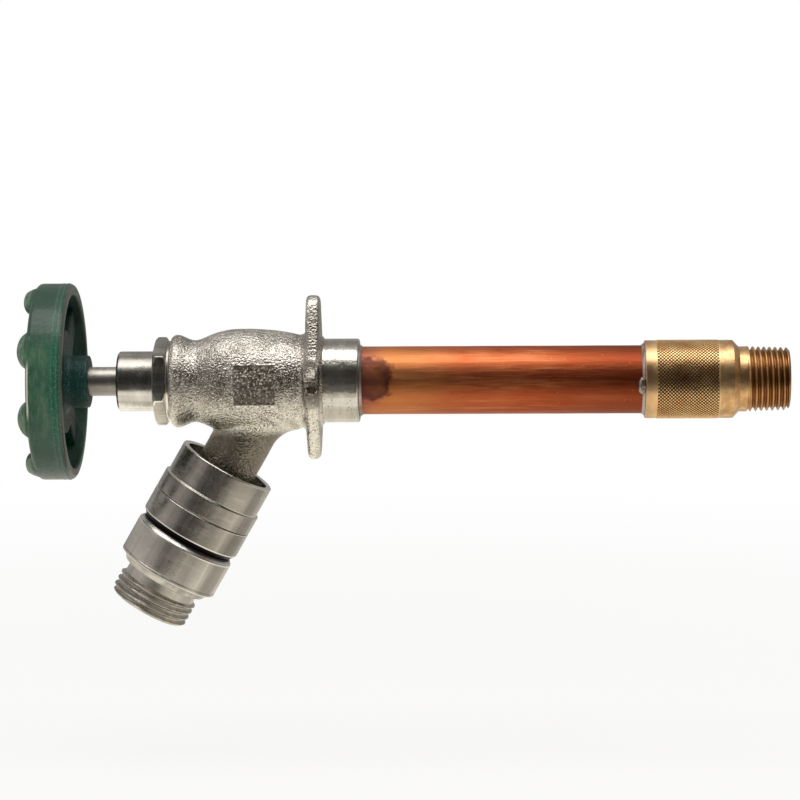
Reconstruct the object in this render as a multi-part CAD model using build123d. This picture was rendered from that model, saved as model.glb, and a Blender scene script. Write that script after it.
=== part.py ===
from build123d import *
from math import cos, pi, radians, sin, tan
import os

# Frost-free sillcock. Lengths are in millimetres and angles in degrees.
# The origin is the centre of the wall face of the flange, on the axis of the copper tube.
# +X runs along the tube to the inlet, +Z is up and -Y is the side with the bare cast panel.

# General clearances
cut_overrun = 2.0
shaft_clearance = 0.08
seat_clearance = 0.05
resting_gap = 0.25

# Wall flange
flange_thickness = 4.6
flange_reach_up = 28.0
flange_reach_down = 26.2
flange_tip_radius = 6.0
flange_hub_radius = 16.5
flange_edge_radius = 1.4
ear_reach = 25.0
ear_radius = 7.2
ear_corner_radius = 3.0
screw_spacing = 42.0
screw_hole_radius = 2.8
screw_mouth_width = 3.6
collar_root_step = 1.5
collar_root_length = 1.4

# Machined collar that holds the tube
collar_wall = 2.5875
collar_length = 12.7
collar_chamfer = 1.0

# Copper tube
tube_radius = 11.1125
tube_wall = 1.143
tube_depth_in_collar = 10.7
tube_length_in_view = 92.8
tube_depth_in_fitting = 6.5

# Cast body, as distances from the wall face towards the handle
body_length = 48.8
body_face_radius = 14.2
body_lip_setback = 1.6
body_lip_radius = 15.2
body_neck_setback = 6.8
body_neck_radius = 13.5
body_shoulder_setback = 12.6
body_shoulder_radius = 15.1
body_belly_distance = 20.9
body_belly_radius = 17.0
body_root_distance = 6.9
body_root_radius = 15.0
panel_width = 13.4
panel_height = 13.4
panel_distance = 20.7
panel_recess = 0.6

# Spout
spout_lean = 30.0
spout_distance = 14.9
spout_radius = 9.8
spout_bore_radius = 6.4
spout_flare_start = 18.7
spout_flare_radius = 10.0
spout_thread_start = 34.5
spout_end = 43.4

# Hose threads, three quarter inch size
hose_crest_radius = 13.49
hose_root_radius = 12.25
hose_pitch = 2.209
hose_lead_in = 0.9

# Bonnet and its packing
bonnet_bore_depth = 12.8
bonnet_thread_radius = 9.6
bonnet_thread_length = 10.8
gasket_radius = 13.2
gasket_thickness = 1.1
hex_across_flats = 25.4
hex_thickness = 4.3
hex_face_radius = 13.3
hex_turn = 21.5
nose_radius = 9.8
nose_length = 12.2
nose_chamfer = 1.0
packing_bore_radius = 7.6
packing_bore_depth = 10.1
packing_shoulder = 1.1
packing_ring_height = 1.5
packing_ring_count = 2
packing_washer_height = 1.0
gland_height = 4.8
gland_slot_width = 1.6
gland_slot_depth = 1.4

# Stem and long rod
stem_radius = 4.76
stem_thread_radius = 6.4
stem_thread_root_radius = 5.2
stem_thread_lead = 3.175
stem_thread_length = 13.0
stem_lift_room = 6.2
stem_tail_length = 16.0
stem_socket_depth = 12.0
stem_square = 6.8
stem_square_length = 9.0
rod_radius = 3.97
rod_spigot_radius = 2.6
rod_spigot_depth = 11.0
rod_end_spigot_length = 4.4

# Handwheel
wheel_radius = 32.3
wheel_rim_wall = 3.9
wheel_depth = 11.6
wheel_clear_of_nose = 14.4
wheel_front_wall = 3.0
wheel_lip_width = 6.8
wheel_edge_radius = 1.6
wheel_bump_count = 8
wheel_bump_inset = 4.3
wheel_bump_radius = 6.3
wheel_bump_proud = 3.2
wheel_spoke_count = 4
wheel_spoke_width = 9.0
wheel_web_step = 8.4
wheel_web_thickness = 3.6
wheel_web_setback = 2.8
hub_radius = 8.6
hub_clear_of_nose = 9.5
hub_length = 12.5
hub_fillet_radius = 2.5
handle_screw_head_radius = 4.6
handle_screw_head_height = 2.6
handle_screw_radius = 2.0
handle_screw_length = 9.0
handle_screw_slot_width = 1.2
handle_screw_slot_depth = 1.2

# Inlet fitting
fitting_wall = 1.5875
fitting_body_length = 28.6
fitting_shoulder_length = 1.9
fitting_neck_radius = 10.6
fitting_neck_length = 2.5
fitting_lead_chamfer = 0.4
knurl_start = 3.9
knurl_length = 19.8
knurl_proud = 0.15
pipe_thread_length = 13.9
pipe_crest_radius = 10.67
pipe_taper_per_length = 1 / 32
pipe_pitch = 1.8143
pipe_thread_depth = 1.25
pipe_lead_in = 0.8
fitting_chamber_radius = 9.4
fitting_waterway_radius = 5.6
inlet_socket_radius = 7.985
inlet_socket_depth = 12.7

# Shut-off seat and washer
seat_height = 4.0
seat_lip_height = 0.4
seat_lip_width = 1.4
seat_bore_radius = 5.2
seat_end_distance = 6.7
washer_gap = 0.3
washer_height = 3.7
washer_radius = 6.9
holder_radius = 7.9
holder_wall = 2.6
holder_hub_height = 4.5
holder_recess = 1.7
holder_gap = 0.3
washer_screw_head_radius = 3.4
washer_screw_head_height = 1.6
washer_screw_radius = 1.45
washer_screw_slot_width = 0.8
washer_screw_slot_depth = 0.7

# Solder at the tube joints
solder_leg = 1.0
solder_run = 1.2
solder_blob_radius = 2.9
solder_blob_depth = 10.6
solder_blob_drop = 1.3

# Vacuum breaker, as distances along the spout from the tube axis
coupling_start = 32.0
coupling_rim_radius = 16.3
coupling_mouth_radius = 14.4
coupling_mouth_depth = 3.5
coupling_step = 42.2
coupling_radius = 17.1
coupling_end = 48.9
coupling_edge = 0.35
breaker_radius = 17.15
breaker_chamfer_start = 57.0
breaker_end = 59.1
breaker_end_radius = 15.5
breaker_spigot_radius = 14.9
breaker_spigot_length = 3.1
breaker_cavity_radius = 12.5
breaker_ledge = 50.2
tail_radius = 9.3
tail_end = 74.6
tail_upper_bore_radius = 6.5
tail_ledge = 61.0
tail_lower_bore_radius = 5.5
vent_count = 6
vent_radius = 1.2
vent_ring_radius = 11.2
hose_washer_radius = 12.4
hose_washer_bore_radius = 8.0
hose_washer_height = 2.2
check_seat_height = 3.0
check_seat_bore_radius = 5.0
diaphragm_bore_radius = 8.3
poppet_gap = 0.25
poppet_lift = 2.5
poppet_seal_radius = 7.0
poppet_seal_height = 1.0
poppet_radius = 7.5
poppet_height = 1.5
poppet_stem_radius = 1.6
poppet_stem_length = 11.5
guide_height = 1.6
guide_rim_width = 0.9
guide_hub_radius = 3.0
guide_arm_width = 1.2
guide_arm_count = 3
breakaway_screw_radius = 1.95
breakaway_screw_distance = 38.6

# Sprung drain outlet under the breaker
drain_gap = 0.5
drain_top_radius = 16.0
drain_chamfer_length = 1.2
drain_radius = 17.0
drain_collar_length = 13.1
drain_shoulder_depth = 4.9
drain_thread_radius = 13.0
drain_skirt_length = 5.1
drain_skirt_bore_radius = 11.4
vent_seal_inner_radius = 12.9
vent_seal_outer_radius = 15.5
vent_seal_depth = 1.2
vent_seal_proud = 0.3
retaining_ring_radius = 11.0
retaining_ring_height = 1.0
retaining_ring_groove_depth = 0.5
retaining_ring_setback = 2.0
nipple_flange_radius = 15.7
nipple_flange_end_radius = 14.4
nipple_flange_length = 2.3
nipple_chamber_depth = 2.5
nipple_neck_length = 2.4
nipple_thread_length = 8.9
nipple_bore_radius = 8.4

# Springs
poppet_spring_radius = 4.2
poppet_spring_wire_radius = 0.4
poppet_spring_turns = 5
drain_spring_radius = 10.35
drain_spring_wire_radius = 0.45
drain_spring_turns = 3

# Radii worked out from the tube and the wheel
tube_bore_radius = tube_radius - tube_wall
collar_radius = tube_radius + collar_wall
collar_root_radius = collar_radius + collar_root_step
fitting_radius = tube_radius + fitting_wall
wheel_front_inner_radius = wheel_radius - wheel_lip_width
wheel_bump_ring_radius = wheel_radius - wheel_bump_inset
wheel_web_radius = hub_radius + wheel_web_step

# Stations worked out from the driving sizes, along X
body_face = -body_length
fitting_start = collar_length + tube_length_in_view
fitting_shoulder = fitting_start + fitting_body_length
fitting_neck = fitting_shoulder + fitting_shoulder_length
pipe_thread_start = fitting_neck + fitting_neck_length
fitting_end = pipe_thread_start + pipe_thread_length
inlet_socket_stop = fitting_end - inlet_socket_depth
seat_end = inlet_socket_stop - seat_end_distance
seat_face = seat_end - seat_height
washer_end = seat_face - seat_lip_height - washer_gap
washer_start = washer_end - washer_height
holder_end = washer_start + holder_recess
holder_floor = washer_start - holder_wall
holder_start = holder_floor - holder_hub_height
hex_back = body_face - gasket_thickness
hex_front = hex_back - hex_thickness
nose_front = hex_front - nose_length
packing_floor = nose_front + packing_bore_depth
stem_bore_end = packing_floor + packing_shoulder
stem_thread_start = stem_bore_end + stem_lift_room
stem_tail = stem_thread_start + stem_thread_length + stem_tail_length
hub_back = nose_front - hub_clear_of_nose
hub_front = hub_back - hub_length
stem_front = hub_front + shaft_clearance
wheel_back = nose_front - wheel_clear_of_nose
wheel_front = wheel_back - wheel_depth

# Stations worked out from the driving sizes, along the spout
hose_washer_end = spout_end + resting_gap + hose_washer_height
check_seat_end = hose_washer_end + check_seat_height
poppet_top = check_seat_end + poppet_gap
poppet_back = poppet_top + poppet_seal_height + poppet_height
drain_start = breaker_end + drain_gap
drain_end = drain_start + drain_collar_length
nipple_neck_start = drain_end + nipple_flange_length
nipple_thread_start = nipple_neck_start + nipple_neck_length
nipple_end = nipple_thread_start + nipple_thread_length

# Placings. Local z follows the axis of a turned piece and local x is the world's +Y.
along_tube = Plane(origin=(0, 0, 0), x_dir=(0, 1, 0), z_dir=(1, 0, 0))
spout_direction = (-sin(radians(spout_lean)), 0, -cos(radians(spout_lean)))
along_spout = Plane(origin=(-spout_distance, 0, 0), x_dir=(0, 1, 0), z_dir=spout_direction)


def profile(points):
    """Closed outline on the local XZ plane from pairs of station and radius."""
    corners = [(radius, 0, station) for station, radius in points]
    return make_face(Polyline(*corners, close=True))


def turned(points):
    """Solid of revolution about local z from pairs of station and radius."""
    return revolve(profile(points), Axis.Z)


def bar(start, end, radius):
    """Round bar between two stations."""
    return turned([(start, 0), (start, radius), (end, radius), (end, 0)])


def ring(start, end, outer, inner):
    """Plain ring between two stations."""
    return turned([(start, inner), (start, outer), (end, outer), (end, inner)])


def spaced(count, first_angle=0):
    """Turns about local z, evenly spaced."""
    return [Rot(0, 0, first_angle + 360 * k / count) for k in range(count)]


def cut_thread(blank, start, turns, pitch, crest, root, taper=0):
    """Helical V groove cut turn by turn, which leaves a flat crest land."""
    land_share = 0.14
    floor_share = 0.12
    depth = crest - root
    flank = (1 - land_share - floor_share) * pitch / 2 / depth
    floor = floor_share * pitch / 2
    mouth = floor + (depth + seat_clearance) * flank
    for turn in range(turns):
        station = start + turn * pitch
        turn_root = root - taper * turn * pitch
        path = Helix(pitch, pitch, turn_root, (0, 0, station), cone_angle=-atan_degrees(taper))
        section = Polyline(
            (0, -floor),
            (depth + seat_clearance, -mouth),
            (depth + seat_clearance, mouth),
            (0, floor),
            close=True,
        )
        place = Plane(origin=path @ 0, x_dir=(1, 0, 0), z_dir=path % 0)
        blank = blank - sweep(place * make_face(section), path=path, is_frenet=True)
    return blank


def atan_degrees(slope):
    """Angle of a small slope."""
    return Vector(1, slope).get_angle(Vector(1, 0))


def coil(start, end, mean_radius, wire_radius, turns):
    """Compression spring between two stations."""
    first = start + wire_radius + resting_gap / 2
    height = end - start - 2 * wire_radius - resting_gap
    path = Helix(height / turns, height, mean_radius, (0, 0, first))
    section = Plane(origin=path @ 0, z_dir=path % 0) * Circle(wire_radius)
    return sweep(section, path=path, is_frenet=True)


def flange_plate():
    """Cast wall flange: tall tips, two ears and a notched screw hole in each ear."""
    tip_up = Pos(0, flange_reach_up - flange_tip_radius) * Circle(flange_tip_radius)
    tip_down = Pos(0, flange_tip_radius - flange_reach_down) * Circle(flange_tip_radius)
    blade_edges = Circle(flange_hub_radius).edges() + tip_up.edges() + tip_down.edges()
    plan = make_hull(blade_edges)
    plan += SlotOverall(2 * ear_reach, 2 * ear_radius)
    plate = Pos(0, 0, -flange_thickness) * extrude(plan, flange_thickness)
    corners = [
        edge
        for edge in plate.edges().filter_by(Axis.Z)
        if abs(abs(edge.center().Y) - ear_radius) < seat_clearance
        and abs(edge.center().X) < flange_hub_radius
    ]
    plate = fillet(corners, ear_corner_radius)
    rims = plate.faces().sort_by(Axis.Z)
    plate = fillet(rims[0].outer_wire().edges() + rims[-1].outer_wire().edges(), flange_edge_radius)
    for side in (-1, 1):
        hole = Pos(side * screw_spacing / 2, 0) * Circle(screw_hole_radius)
        mouth_length = ear_reach - screw_spacing / 2 + cut_overrun
        mouth = Pos(side * (screw_spacing + mouth_length) / 2, 0) * Rectangle(mouth_length, screw_mouth_width)
        notch = extrude(hole + mouth, flange_thickness + 2 * cut_overrun)
        plate -= Pos(0, 0, -flange_thickness - cut_overrun) * notch
    return plate


def cast_barrel(inset=0):
    """Swelling cast barrel between the bonnet face and the flange, or its skin set in by an inset."""
    face_radius = body_face_radius - inset
    root_radius = body_root_radius - inset
    skin = Spline(
        (face_radius, 0, body_face),
        (body_lip_radius - inset, 0, body_face + body_lip_setback),
        (body_neck_radius - inset, 0, body_face + body_neck_setback),
        (body_shoulder_radius - inset, 0, body_face + body_shoulder_setback),
        (body_belly_radius - inset, 0, -body_belly_distance),
        (root_radius, 0, -body_root_distance),
    )
    root = Line((root_radius, 0, -body_root_distance), (root_radius, 0, 0))
    back = Line((root_radius, 0, 0), (0, 0, 0))
    axis_line = Line((0, 0, 0), (0, 0, body_face))
    face = Line((0, 0, body_face), (face_radius, 0, body_face))
    return revolve(make_face([skin, root, back, axis_line, face]), Axis.Z)


def spout_branch():
    """Round spout with a flare where it leaves the barrel and a hose thread at its end."""
    turn = 90 - spout_lean
    flare_top = spout_flare_start - spout_flare_radius * sin(radians(turn))
    flare_top_radius = spout_radius + spout_flare_radius * (1 - cos(radians(turn)))
    half_rise = spout_flare_radius * (1 - cos(radians(turn / 2)))
    half_drop = spout_flare_radius * sin(radians(turn / 2))
    outline = [
        Line((0, 0, 0), (flare_top_radius, 0, 0)),
        Line((flare_top_radius, 0, 0), (flare_top_radius, 0, flare_top)),
        ThreePointArc(
            (flare_top_radius, 0, flare_top),
            (spout_radius + half_rise, 0, spout_flare_start - half_drop),
            (spout_radius, 0, spout_flare_start),
        ),
        Line((spout_radius, 0, spout_flare_start), (spout_radius, 0, spout_thread_start)),
        Line((spout_radius, 0, spout_thread_start), (0, 0, spout_thread_start)),
        Line((0, 0, spout_thread_start), (0, 0, 0)),
    ]
    stub = revolve(make_face(outline), Axis.Z)
    thread_rise = hose_crest_radius - hose_root_radius
    screw_end = turned(
        [
            (spout_thread_start - cut_overrun, 0),
            (spout_thread_start - cut_overrun, spout_radius),
            (spout_thread_start, spout_radius),
            (spout_thread_start, hose_root_radius),
            (spout_thread_start + thread_rise, hose_crest_radius),
            (spout_end - hose_lead_in, hose_crest_radius),
            (spout_end, hose_crest_radius - hose_lead_in),
            (spout_end, 0),
        ]
    )
    turns = int((spout_end - spout_thread_start) / hose_pitch) - 1
    screw_end = cut_thread(
        screw_end, spout_thread_start + hose_pitch, turns, hose_pitch, hose_crest_radius, hose_root_radius
    )
    return stub + screw_end


def make_valve_body():
    """Casting with its flange, machined tube collar, bare panel and water ways."""
    collar = turned(
        [
            (-flange_thickness, 0),
            (-flange_thickness, collar_radius),
            (collar_length - collar_chamfer, collar_radius),
            (collar_length, collar_radius - collar_chamfer),
            (collar_length, 0),
        ]
    )
    collar_root = turned(
        [
            (-flange_thickness, 0),
            (-flange_thickness, collar_root_radius),
            (0, collar_root_radius),
            (collar_root_length, collar_radius),
            (collar_root_length, 0),
        ]
    )
    panel_depth = body_belly_radius + cut_overrun
    panel = Pos(-panel_distance, -panel_depth / 2, 0) * Box(panel_width, panel_depth, panel_height)
    panel -= along_tube * cast_barrel(panel_recess)
    body = along_tube * (cast_barrel() + flange_plate() + collar_root + collar)
    body += along_spout * spout_branch()
    body -= panel
    tube_stop = collar_length - tube_depth_in_collar
    bonnet_stop = body_face + bonnet_bore_depth
    bores = bar(tube_stop, collar_length + cut_overrun, tube_radius + seat_clearance)
    bores += bar(bonnet_stop - cut_overrun, tube_stop + cut_overrun, tube_bore_radius)
    bores += bar(body_face - cut_overrun, bonnet_stop, bonnet_thread_radius + seat_clearance)
    body -= along_tube * bores
    body -= along_spout * bar(0, spout_end + cut_overrun, spout_bore_radius)
    return body


def make_copper_tube():
    return along_tube * ring(
        collar_length - tube_depth_in_collar,
        fitting_start + tube_depth_in_fitting,
        tube_radius,
        tube_bore_radius,
    )


def solder_fillet(joint, direction):
    """Bead in the corner between the tube and the face it is soldered to."""
    return turned(
        [
            (joint, tube_radius),
            (joint, tube_radius + solder_leg),
            (joint + direction * solder_run, tube_radius),
        ]
    )


def make_collar_solder():
    return along_tube * solder_fillet(collar_length, 1)


def make_fitting_solder():
    """Bead at the fitting with the drop of solder that ran out of the joint."""
    drop = Pos(fitting_start, -solder_blob_depth, -solder_blob_drop) * Sphere(solder_blob_radius)
    drop &= Pos(fitting_start - solder_blob_radius / 2, 0, 0) * Box(
        solder_blob_radius, 4 * solder_blob_depth, 4 * solder_blob_depth
    )
    drop -= along_tube * bar(0, fitting_end, tube_radius)
    return along_tube * solder_fillet(fitting_start, -1) + drop


def make_inlet_fitting():
    """Machined brass end piece: tube socket, knurled grip band, pipe thread and sweat socket."""
    taper_drop = pipe_thread_length * pipe_taper_per_length
    end_radius = pipe_crest_radius - taper_drop
    root_radius = pipe_crest_radius - pipe_thread_depth
    blank = turned(
        [
            (fitting_start, 0),
            (fitting_start, fitting_radius - fitting_lead_chamfer),
            (fitting_start + fitting_lead_chamfer, fitting_radius),
            (fitting_start + knurl_start, fitting_radius),
            (fitting_start + knurl_start, fitting_radius + knurl_proud),
            (fitting_start + knurl_start + knurl_length, fitting_radius + knurl_proud),
            (fitting_start + knurl_start + knurl_length, fitting_radius),
            (fitting_shoulder, fitting_radius),
            (fitting_neck, fitting_neck_radius),
            (pipe_thread_start, fitting_neck_radius),
            (pipe_thread_start, pipe_crest_radius),
            (fitting_end - pipe_lead_in, end_radius),
            (fitting_end, end_radius - pipe_lead_in),
            (fitting_end, 0),
        ]
    )
    turns = int(pipe_thread_length / pipe_pitch)
    body = cut_thread(
        blank, pipe_thread_start, turns, pipe_pitch, pipe_crest_radius, root_radius, pipe_taper_per_length
    )
    tube_stop = fitting_start + tube_depth_in_fitting
    body -= bar(fitting_start - cut_overrun, tube_stop, tube_radius + seat_clearance)
    body -= bar(tube_stop - cut_overrun, seat_end, fitting_chamber_radius)
    body -= bar(seat_end - cut_overrun, fitting_end, fitting_waterway_radius)
    body -= bar(inlet_socket_stop, fitting_end + cut_overrun, inlet_socket_radius)
    return along_tube * body


def make_valve_seat():
    return along_tube * turned(
        [
            (seat_end, seat_bore_radius),
            (seat_end, fitting_chamber_radius - seat_clearance),
            (seat_face, fitting_chamber_radius - seat_clearance),
            (seat_face, seat_bore_radius + seat_lip_width),
            (seat_face - seat_lip_height, seat_bore_radius + seat_lip_width),
            (seat_face - seat_lip_height, seat_bore_radius),
        ]
    )


def make_bonnet():
    """Hexagon, round nose and threaded spigot in one piece, bored for stem and packing."""
    hexagon = Rot(0, 0, hex_turn) * RegularPolygon(hex_across_flats / 2, 6, major_radius=False)
    corner_radius = hex_across_flats / 2 / cos(pi / 6)
    bevel = (corner_radius - hex_face_radius) * tan(pi / 6)
    nut = Pos(0, 0, hex_front) * extrude(hexagon, hex_thickness)
    nut &= turned(
        [
            (hex_front, 0),
            (hex_front, hex_face_radius),
            (hex_front + bevel, corner_radius),
            (hex_back - bevel, corner_radius),
            (hex_back, hex_face_radius),
            (hex_back, 0),
        ]
    )
    nose = turned(
        [
            (nose_front, 0),
            (nose_front, nose_radius - nose_chamfer),
            (nose_front + nose_chamfer, nose_radius),
            (hex_front + cut_overrun, nose_radius),
            (hex_front + cut_overrun, 0),
        ]
    )
    spigot_end = body_face + bonnet_thread_length
    body = nut + nose + bar(hex_back - cut_overrun, spigot_end, bonnet_thread_radius)
    body -= bar(nose_front - cut_overrun, packing_floor, packing_bore_radius)
    body -= bar(packing_floor - cut_overrun, spigot_end, stem_radius + shaft_clearance)
    body -= bar(stem_bore_end, spigot_end + cut_overrun, stem_thread_radius + shaft_clearance)
    return along_tube * body


def make_bonnet_gasket():
    return along_tube * ring(hex_back, body_face, gasket_radius, bonnet_thread_radius + seat_clearance)


def make_packing_washer():
    return along_tube * ring(
        packing_floor - packing_washer_height,
        packing_floor,
        packing_bore_radius - seat_clearance,
        stem_radius + shaft_clearance,
    )


def make_packing_rings():
    """Packing rings stacked on the packing washer, each a separate solid."""
    first_end = packing_floor - packing_washer_height
    rings = []
    for k in range(packing_ring_count):
        end = first_end - k * packing_ring_height
        rings.append(
            along_tube
            * ring(
                end - packing_ring_height,
                end,
                packing_bore_radius - seat_clearance,
                stem_radius + shaft_clearance,
            )
        )
    return Compound(children=rings)


def make_packing_gland():
    """Screwed ring that presses the packing, slotted across its face."""
    end = packing_floor - packing_washer_height - packing_ring_count * packing_ring_height
    start = end - gland_height
    gland = ring(start, end, packing_bore_radius - seat_clearance, stem_radius + shaft_clearance)
    slot = Box(2 * packing_bore_radius, gland_slot_width, 2 * gland_slot_depth)
    return along_tube * (gland - Pos(0, 0, start) * slot)


def make_stem_spindle():
    """Stem with a square for the wheel, a screw thread and a socket for the long rod."""
    thread_end = stem_thread_start + stem_thread_length
    chamfer_length = stem_thread_radius - stem_radius
    core = turned(
        [
            (stem_front, 0),
            (stem_front, stem_radius),
            (stem_thread_start, stem_radius),
            (stem_thread_start + chamfer_length, stem_thread_radius),
            (thread_end - chamfer_length, stem_thread_radius),
            (thread_end, stem_radius),
            (stem_tail, stem_radius),
            (stem_tail, 0),
        ]
    )
    turns = int(stem_thread_length / stem_thread_lead)
    core = cut_thread(
        core, stem_thread_start, turns, stem_thread_lead, stem_thread_radius, stem_thread_root_radius
    )
    square_end = stem_front + stem_square_length
    around_square = Pos(0, 0, stem_front) * Box(
        4 * stem_radius, 4 * stem_radius, 2 * stem_square_length
    )
    around_square -= Pos(0, 0, stem_front) * Box(stem_square, stem_square, 2 * square_end - 2 * stem_front)
    core -= around_square
    core -= bar(stem_tail - stem_socket_depth, stem_tail + cut_overrun, rod_spigot_radius + seat_clearance)
    core -= bar(
        stem_front - cut_overrun,
        stem_front + handle_screw_length + resting_gap,
        handle_screw_radius + seat_clearance,
    )
    return along_tube * core


def make_operating_rod():
    rod_end = holder_start - holder_gap
    rod = bar(stem_tail, rod_end, rod_radius)
    rod += bar(stem_tail - rod_spigot_depth, stem_tail + cut_overrun, rod_spigot_radius)
    rod += bar(rod_end - cut_overrun, holder_start + rod_end_spigot_length - holder_gap, rod_spigot_radius)
    return along_tube * rod


def make_washer_holder():
    """Cup that swivels on the rod's spigot and carries the shut-off washer."""
    cup = bar(holder_start, holder_end, holder_radius)
    cup -= bar(washer_start, holder_end + cut_overrun, washer_radius + seat_clearance)
    cup -= bar(holder_start - cut_overrun, holder_floor, rod_spigot_radius + seat_clearance)
    cup -= bar(holder_floor + resting_gap, washer_start + cut_overrun, washer_screw_radius + seat_clearance)
    return along_tube * cup


def make_seat_washer():
    return along_tube * ring(washer_start, washer_end, washer_radius, washer_screw_radius + seat_clearance)


def make_seat_washer_screw():
    head = bar(washer_end, washer_end + washer_screw_head_height, washer_screw_head_radius)
    shank = bar(holder_floor + 2 * resting_gap, washer_end + seat_clearance, washer_screw_radius)
    slot = Pos(0, 0, washer_end + washer_screw_head_height) * Box(
        3 * washer_screw_head_radius, washer_screw_slot_width, 2 * washer_screw_slot_depth
    )
    return along_tube * (head + shank - slot)


def wheel_hub():
    """Hub with a fillet that runs out into the round web."""
    web_back = wheel_back - wheel_web_setback
    web_front = web_back - wheel_web_thickness
    corner = hub_radius + hub_fillet_radius
    bend = hub_fillet_radius * (1 - cos(pi / 4))
    outline = [
        Line((0, 0, hub_front), (hub_radius, 0, hub_front)),
        Line((hub_radius, 0, hub_front), (hub_radius, 0, web_front)),
        Line((hub_radius, 0, web_front), (wheel_web_radius, 0, web_front)),
        Line((wheel_web_radius, 0, web_front), (wheel_web_radius, 0, web_back)),
        Line((wheel_web_radius, 0, web_back), (corner, 0, web_back)),
        ThreePointArc(
            (corner, 0, web_back),
            (hub_radius + bend, 0, web_back + bend),
            (hub_radius, 0, web_back + hub_fillet_radius),
        ),
        Line((hub_radius, 0, web_back + hub_fillet_radius), (hub_radius, 0, hub_back)),
        Line((hub_radius, 0, hub_back), (0, 0, hub_back)),
        Line((0, 0, hub_back), (0, 0, hub_front)),
    ]
    return revolve(make_face(outline), Axis.Z)


def wheel_rim():
    """Deep rim with a front lip, rounded outer edges and low domes on its front."""
    inner = wheel_radius - wheel_rim_wall
    lip_back = wheel_front + wheel_front_wall
    rim = turned(
        [
            (wheel_front, wheel_front_inner_radius),
            (wheel_front, wheel_radius),
            (wheel_back, wheel_radius),
            (wheel_back, inner),
            (lip_back, inner),
            (lip_back, wheel_front_inner_radius),
        ]
    )
    outer_edges = [
        edge
        for edge in rim.edges().filter_by(GeomType.CIRCLE)
        if abs(edge.radius - wheel_radius) < seat_clearance
    ]
    rim = fillet(outer_edges, wheel_edge_radius)
    dome_station = wheel_front - wheel_bump_proud + wheel_bump_radius
    keep = ring(
        wheel_front - wheel_bump_proud - cut_overrun,
        lip_back,
        wheel_radius - wheel_edge_radius / 2,
        wheel_front_inner_radius,
    )
    dome = Pos(wheel_bump_ring_radius, 0, dome_station) * Sphere(wheel_bump_radius) & keep
    for turn in spaced(wheel_bump_count, 180 / wheel_bump_count):
        rim += turn * dome
    return rim


def make_handwheel():
    """Handwheel: hub and web, four spokes and the deep rim."""
    web_back = wheel_back - wheel_web_setback
    inner = wheel_radius - wheel_rim_wall
    spoke_start = (hub_radius + wheel_web_radius) / 2
    spoke_length = inner - spoke_start + wheel_rim_wall / 2
    spoke = Pos(spoke_start + spoke_length / 2, 0, web_back - wheel_web_thickness / 2) * Box(
        spoke_length, wheel_spoke_width, wheel_web_thickness
    )
    wheel = wheel_rim() + wheel_hub()
    for turn in spaced(wheel_spoke_count, 180 / wheel_spoke_count):
        wheel += turn * spoke
    square_end = stem_front + stem_square_length
    wheel -= bar(square_end, hub_back + cut_overrun, stem_radius + seat_clearance)
    square_hole = Box(
        stem_square + 2 * seat_clearance, stem_square + 2 * seat_clearance, 2 * stem_square_length
    )
    wheel -= Pos(0, 0, square_end - stem_square_length) * square_hole
    return along_tube * wheel


def make_handle_screw():
    """Pan-head screw that holds the wheel on the stem."""
    head_back = hub_front
    head = bar(head_back - handle_screw_head_height, head_back, handle_screw_head_radius)
    crown = head.edges().filter_by(GeomType.CIRCLE).sort_by(Axis.Z)[0]
    head = fillet(crown, handle_screw_head_height / 2)
    shank = bar(head_back - seat_clearance, stem_front + handle_screw_length, handle_screw_radius)
    slot = Pos(0, 0, head_back - handle_screw_head_height) * Box(
        3 * handle_screw_head_radius, handle_screw_slot_width, 2 * handle_screw_slot_depth
    )
    return along_tube * (head + shank - slot)


def make_breaker_coupling():
    """Upper ring of the vacuum breaker, open round the spout at its rim."""
    thread_bore = hose_crest_radius + 2 * seat_clearance
    spigot_start = coupling_end - breaker_spigot_length
    shell = turned(
        [
            (coupling_start, coupling_mouth_radius),
            (coupling_start, coupling_rim_radius),
            (coupling_step, coupling_rim_radius),
            (coupling_step + coupling_edge, coupling_radius),
            (coupling_end, coupling_radius),
            (coupling_end, breaker_spigot_radius + seat_clearance),
            (spigot_start, breaker_spigot_radius + seat_clearance),
            (spigot_start, thread_bore),
            (coupling_start + coupling_mouth_depth, thread_bore),
            (coupling_start + coupling_mouth_depth, coupling_mouth_radius),
        ]
    )
    hole = Cylinder(breakaway_screw_radius + seat_clearance, 2 * coupling_radius)
    shell -= Pos(coupling_radius, 0, breakaway_screw_distance) * Rot(0, 90, 0) * hole
    return along_spout * shell


def make_breakaway_screw():
    """Headless locking screw through the back of the coupling."""
    tip = hose_crest_radius + 2 * seat_clearance
    length = coupling_rim_radius - tip
    screw = Pos(tip + length / 2, 0, breakaway_screw_distance) * Rot(0, 90, 0)
    return along_spout * screw * Cylinder(breakaway_screw_radius, length)


def make_breaker_washer():
    return along_spout * ring(
        hose_washer_end - hose_washer_height, hose_washer_end, hose_washer_radius, hose_washer_bore_radius
    )


def make_check_seat():
    return along_spout * ring(
        hose_washer_end, check_seat_end, breaker_cavity_radius - seat_clearance, check_seat_bore_radius
    )


def make_vent_diaphragm():
    return along_spout * ring(
        check_seat_end, breaker_ledge, breaker_cavity_radius - seat_clearance, diaphragm_bore_radius
    )


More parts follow.
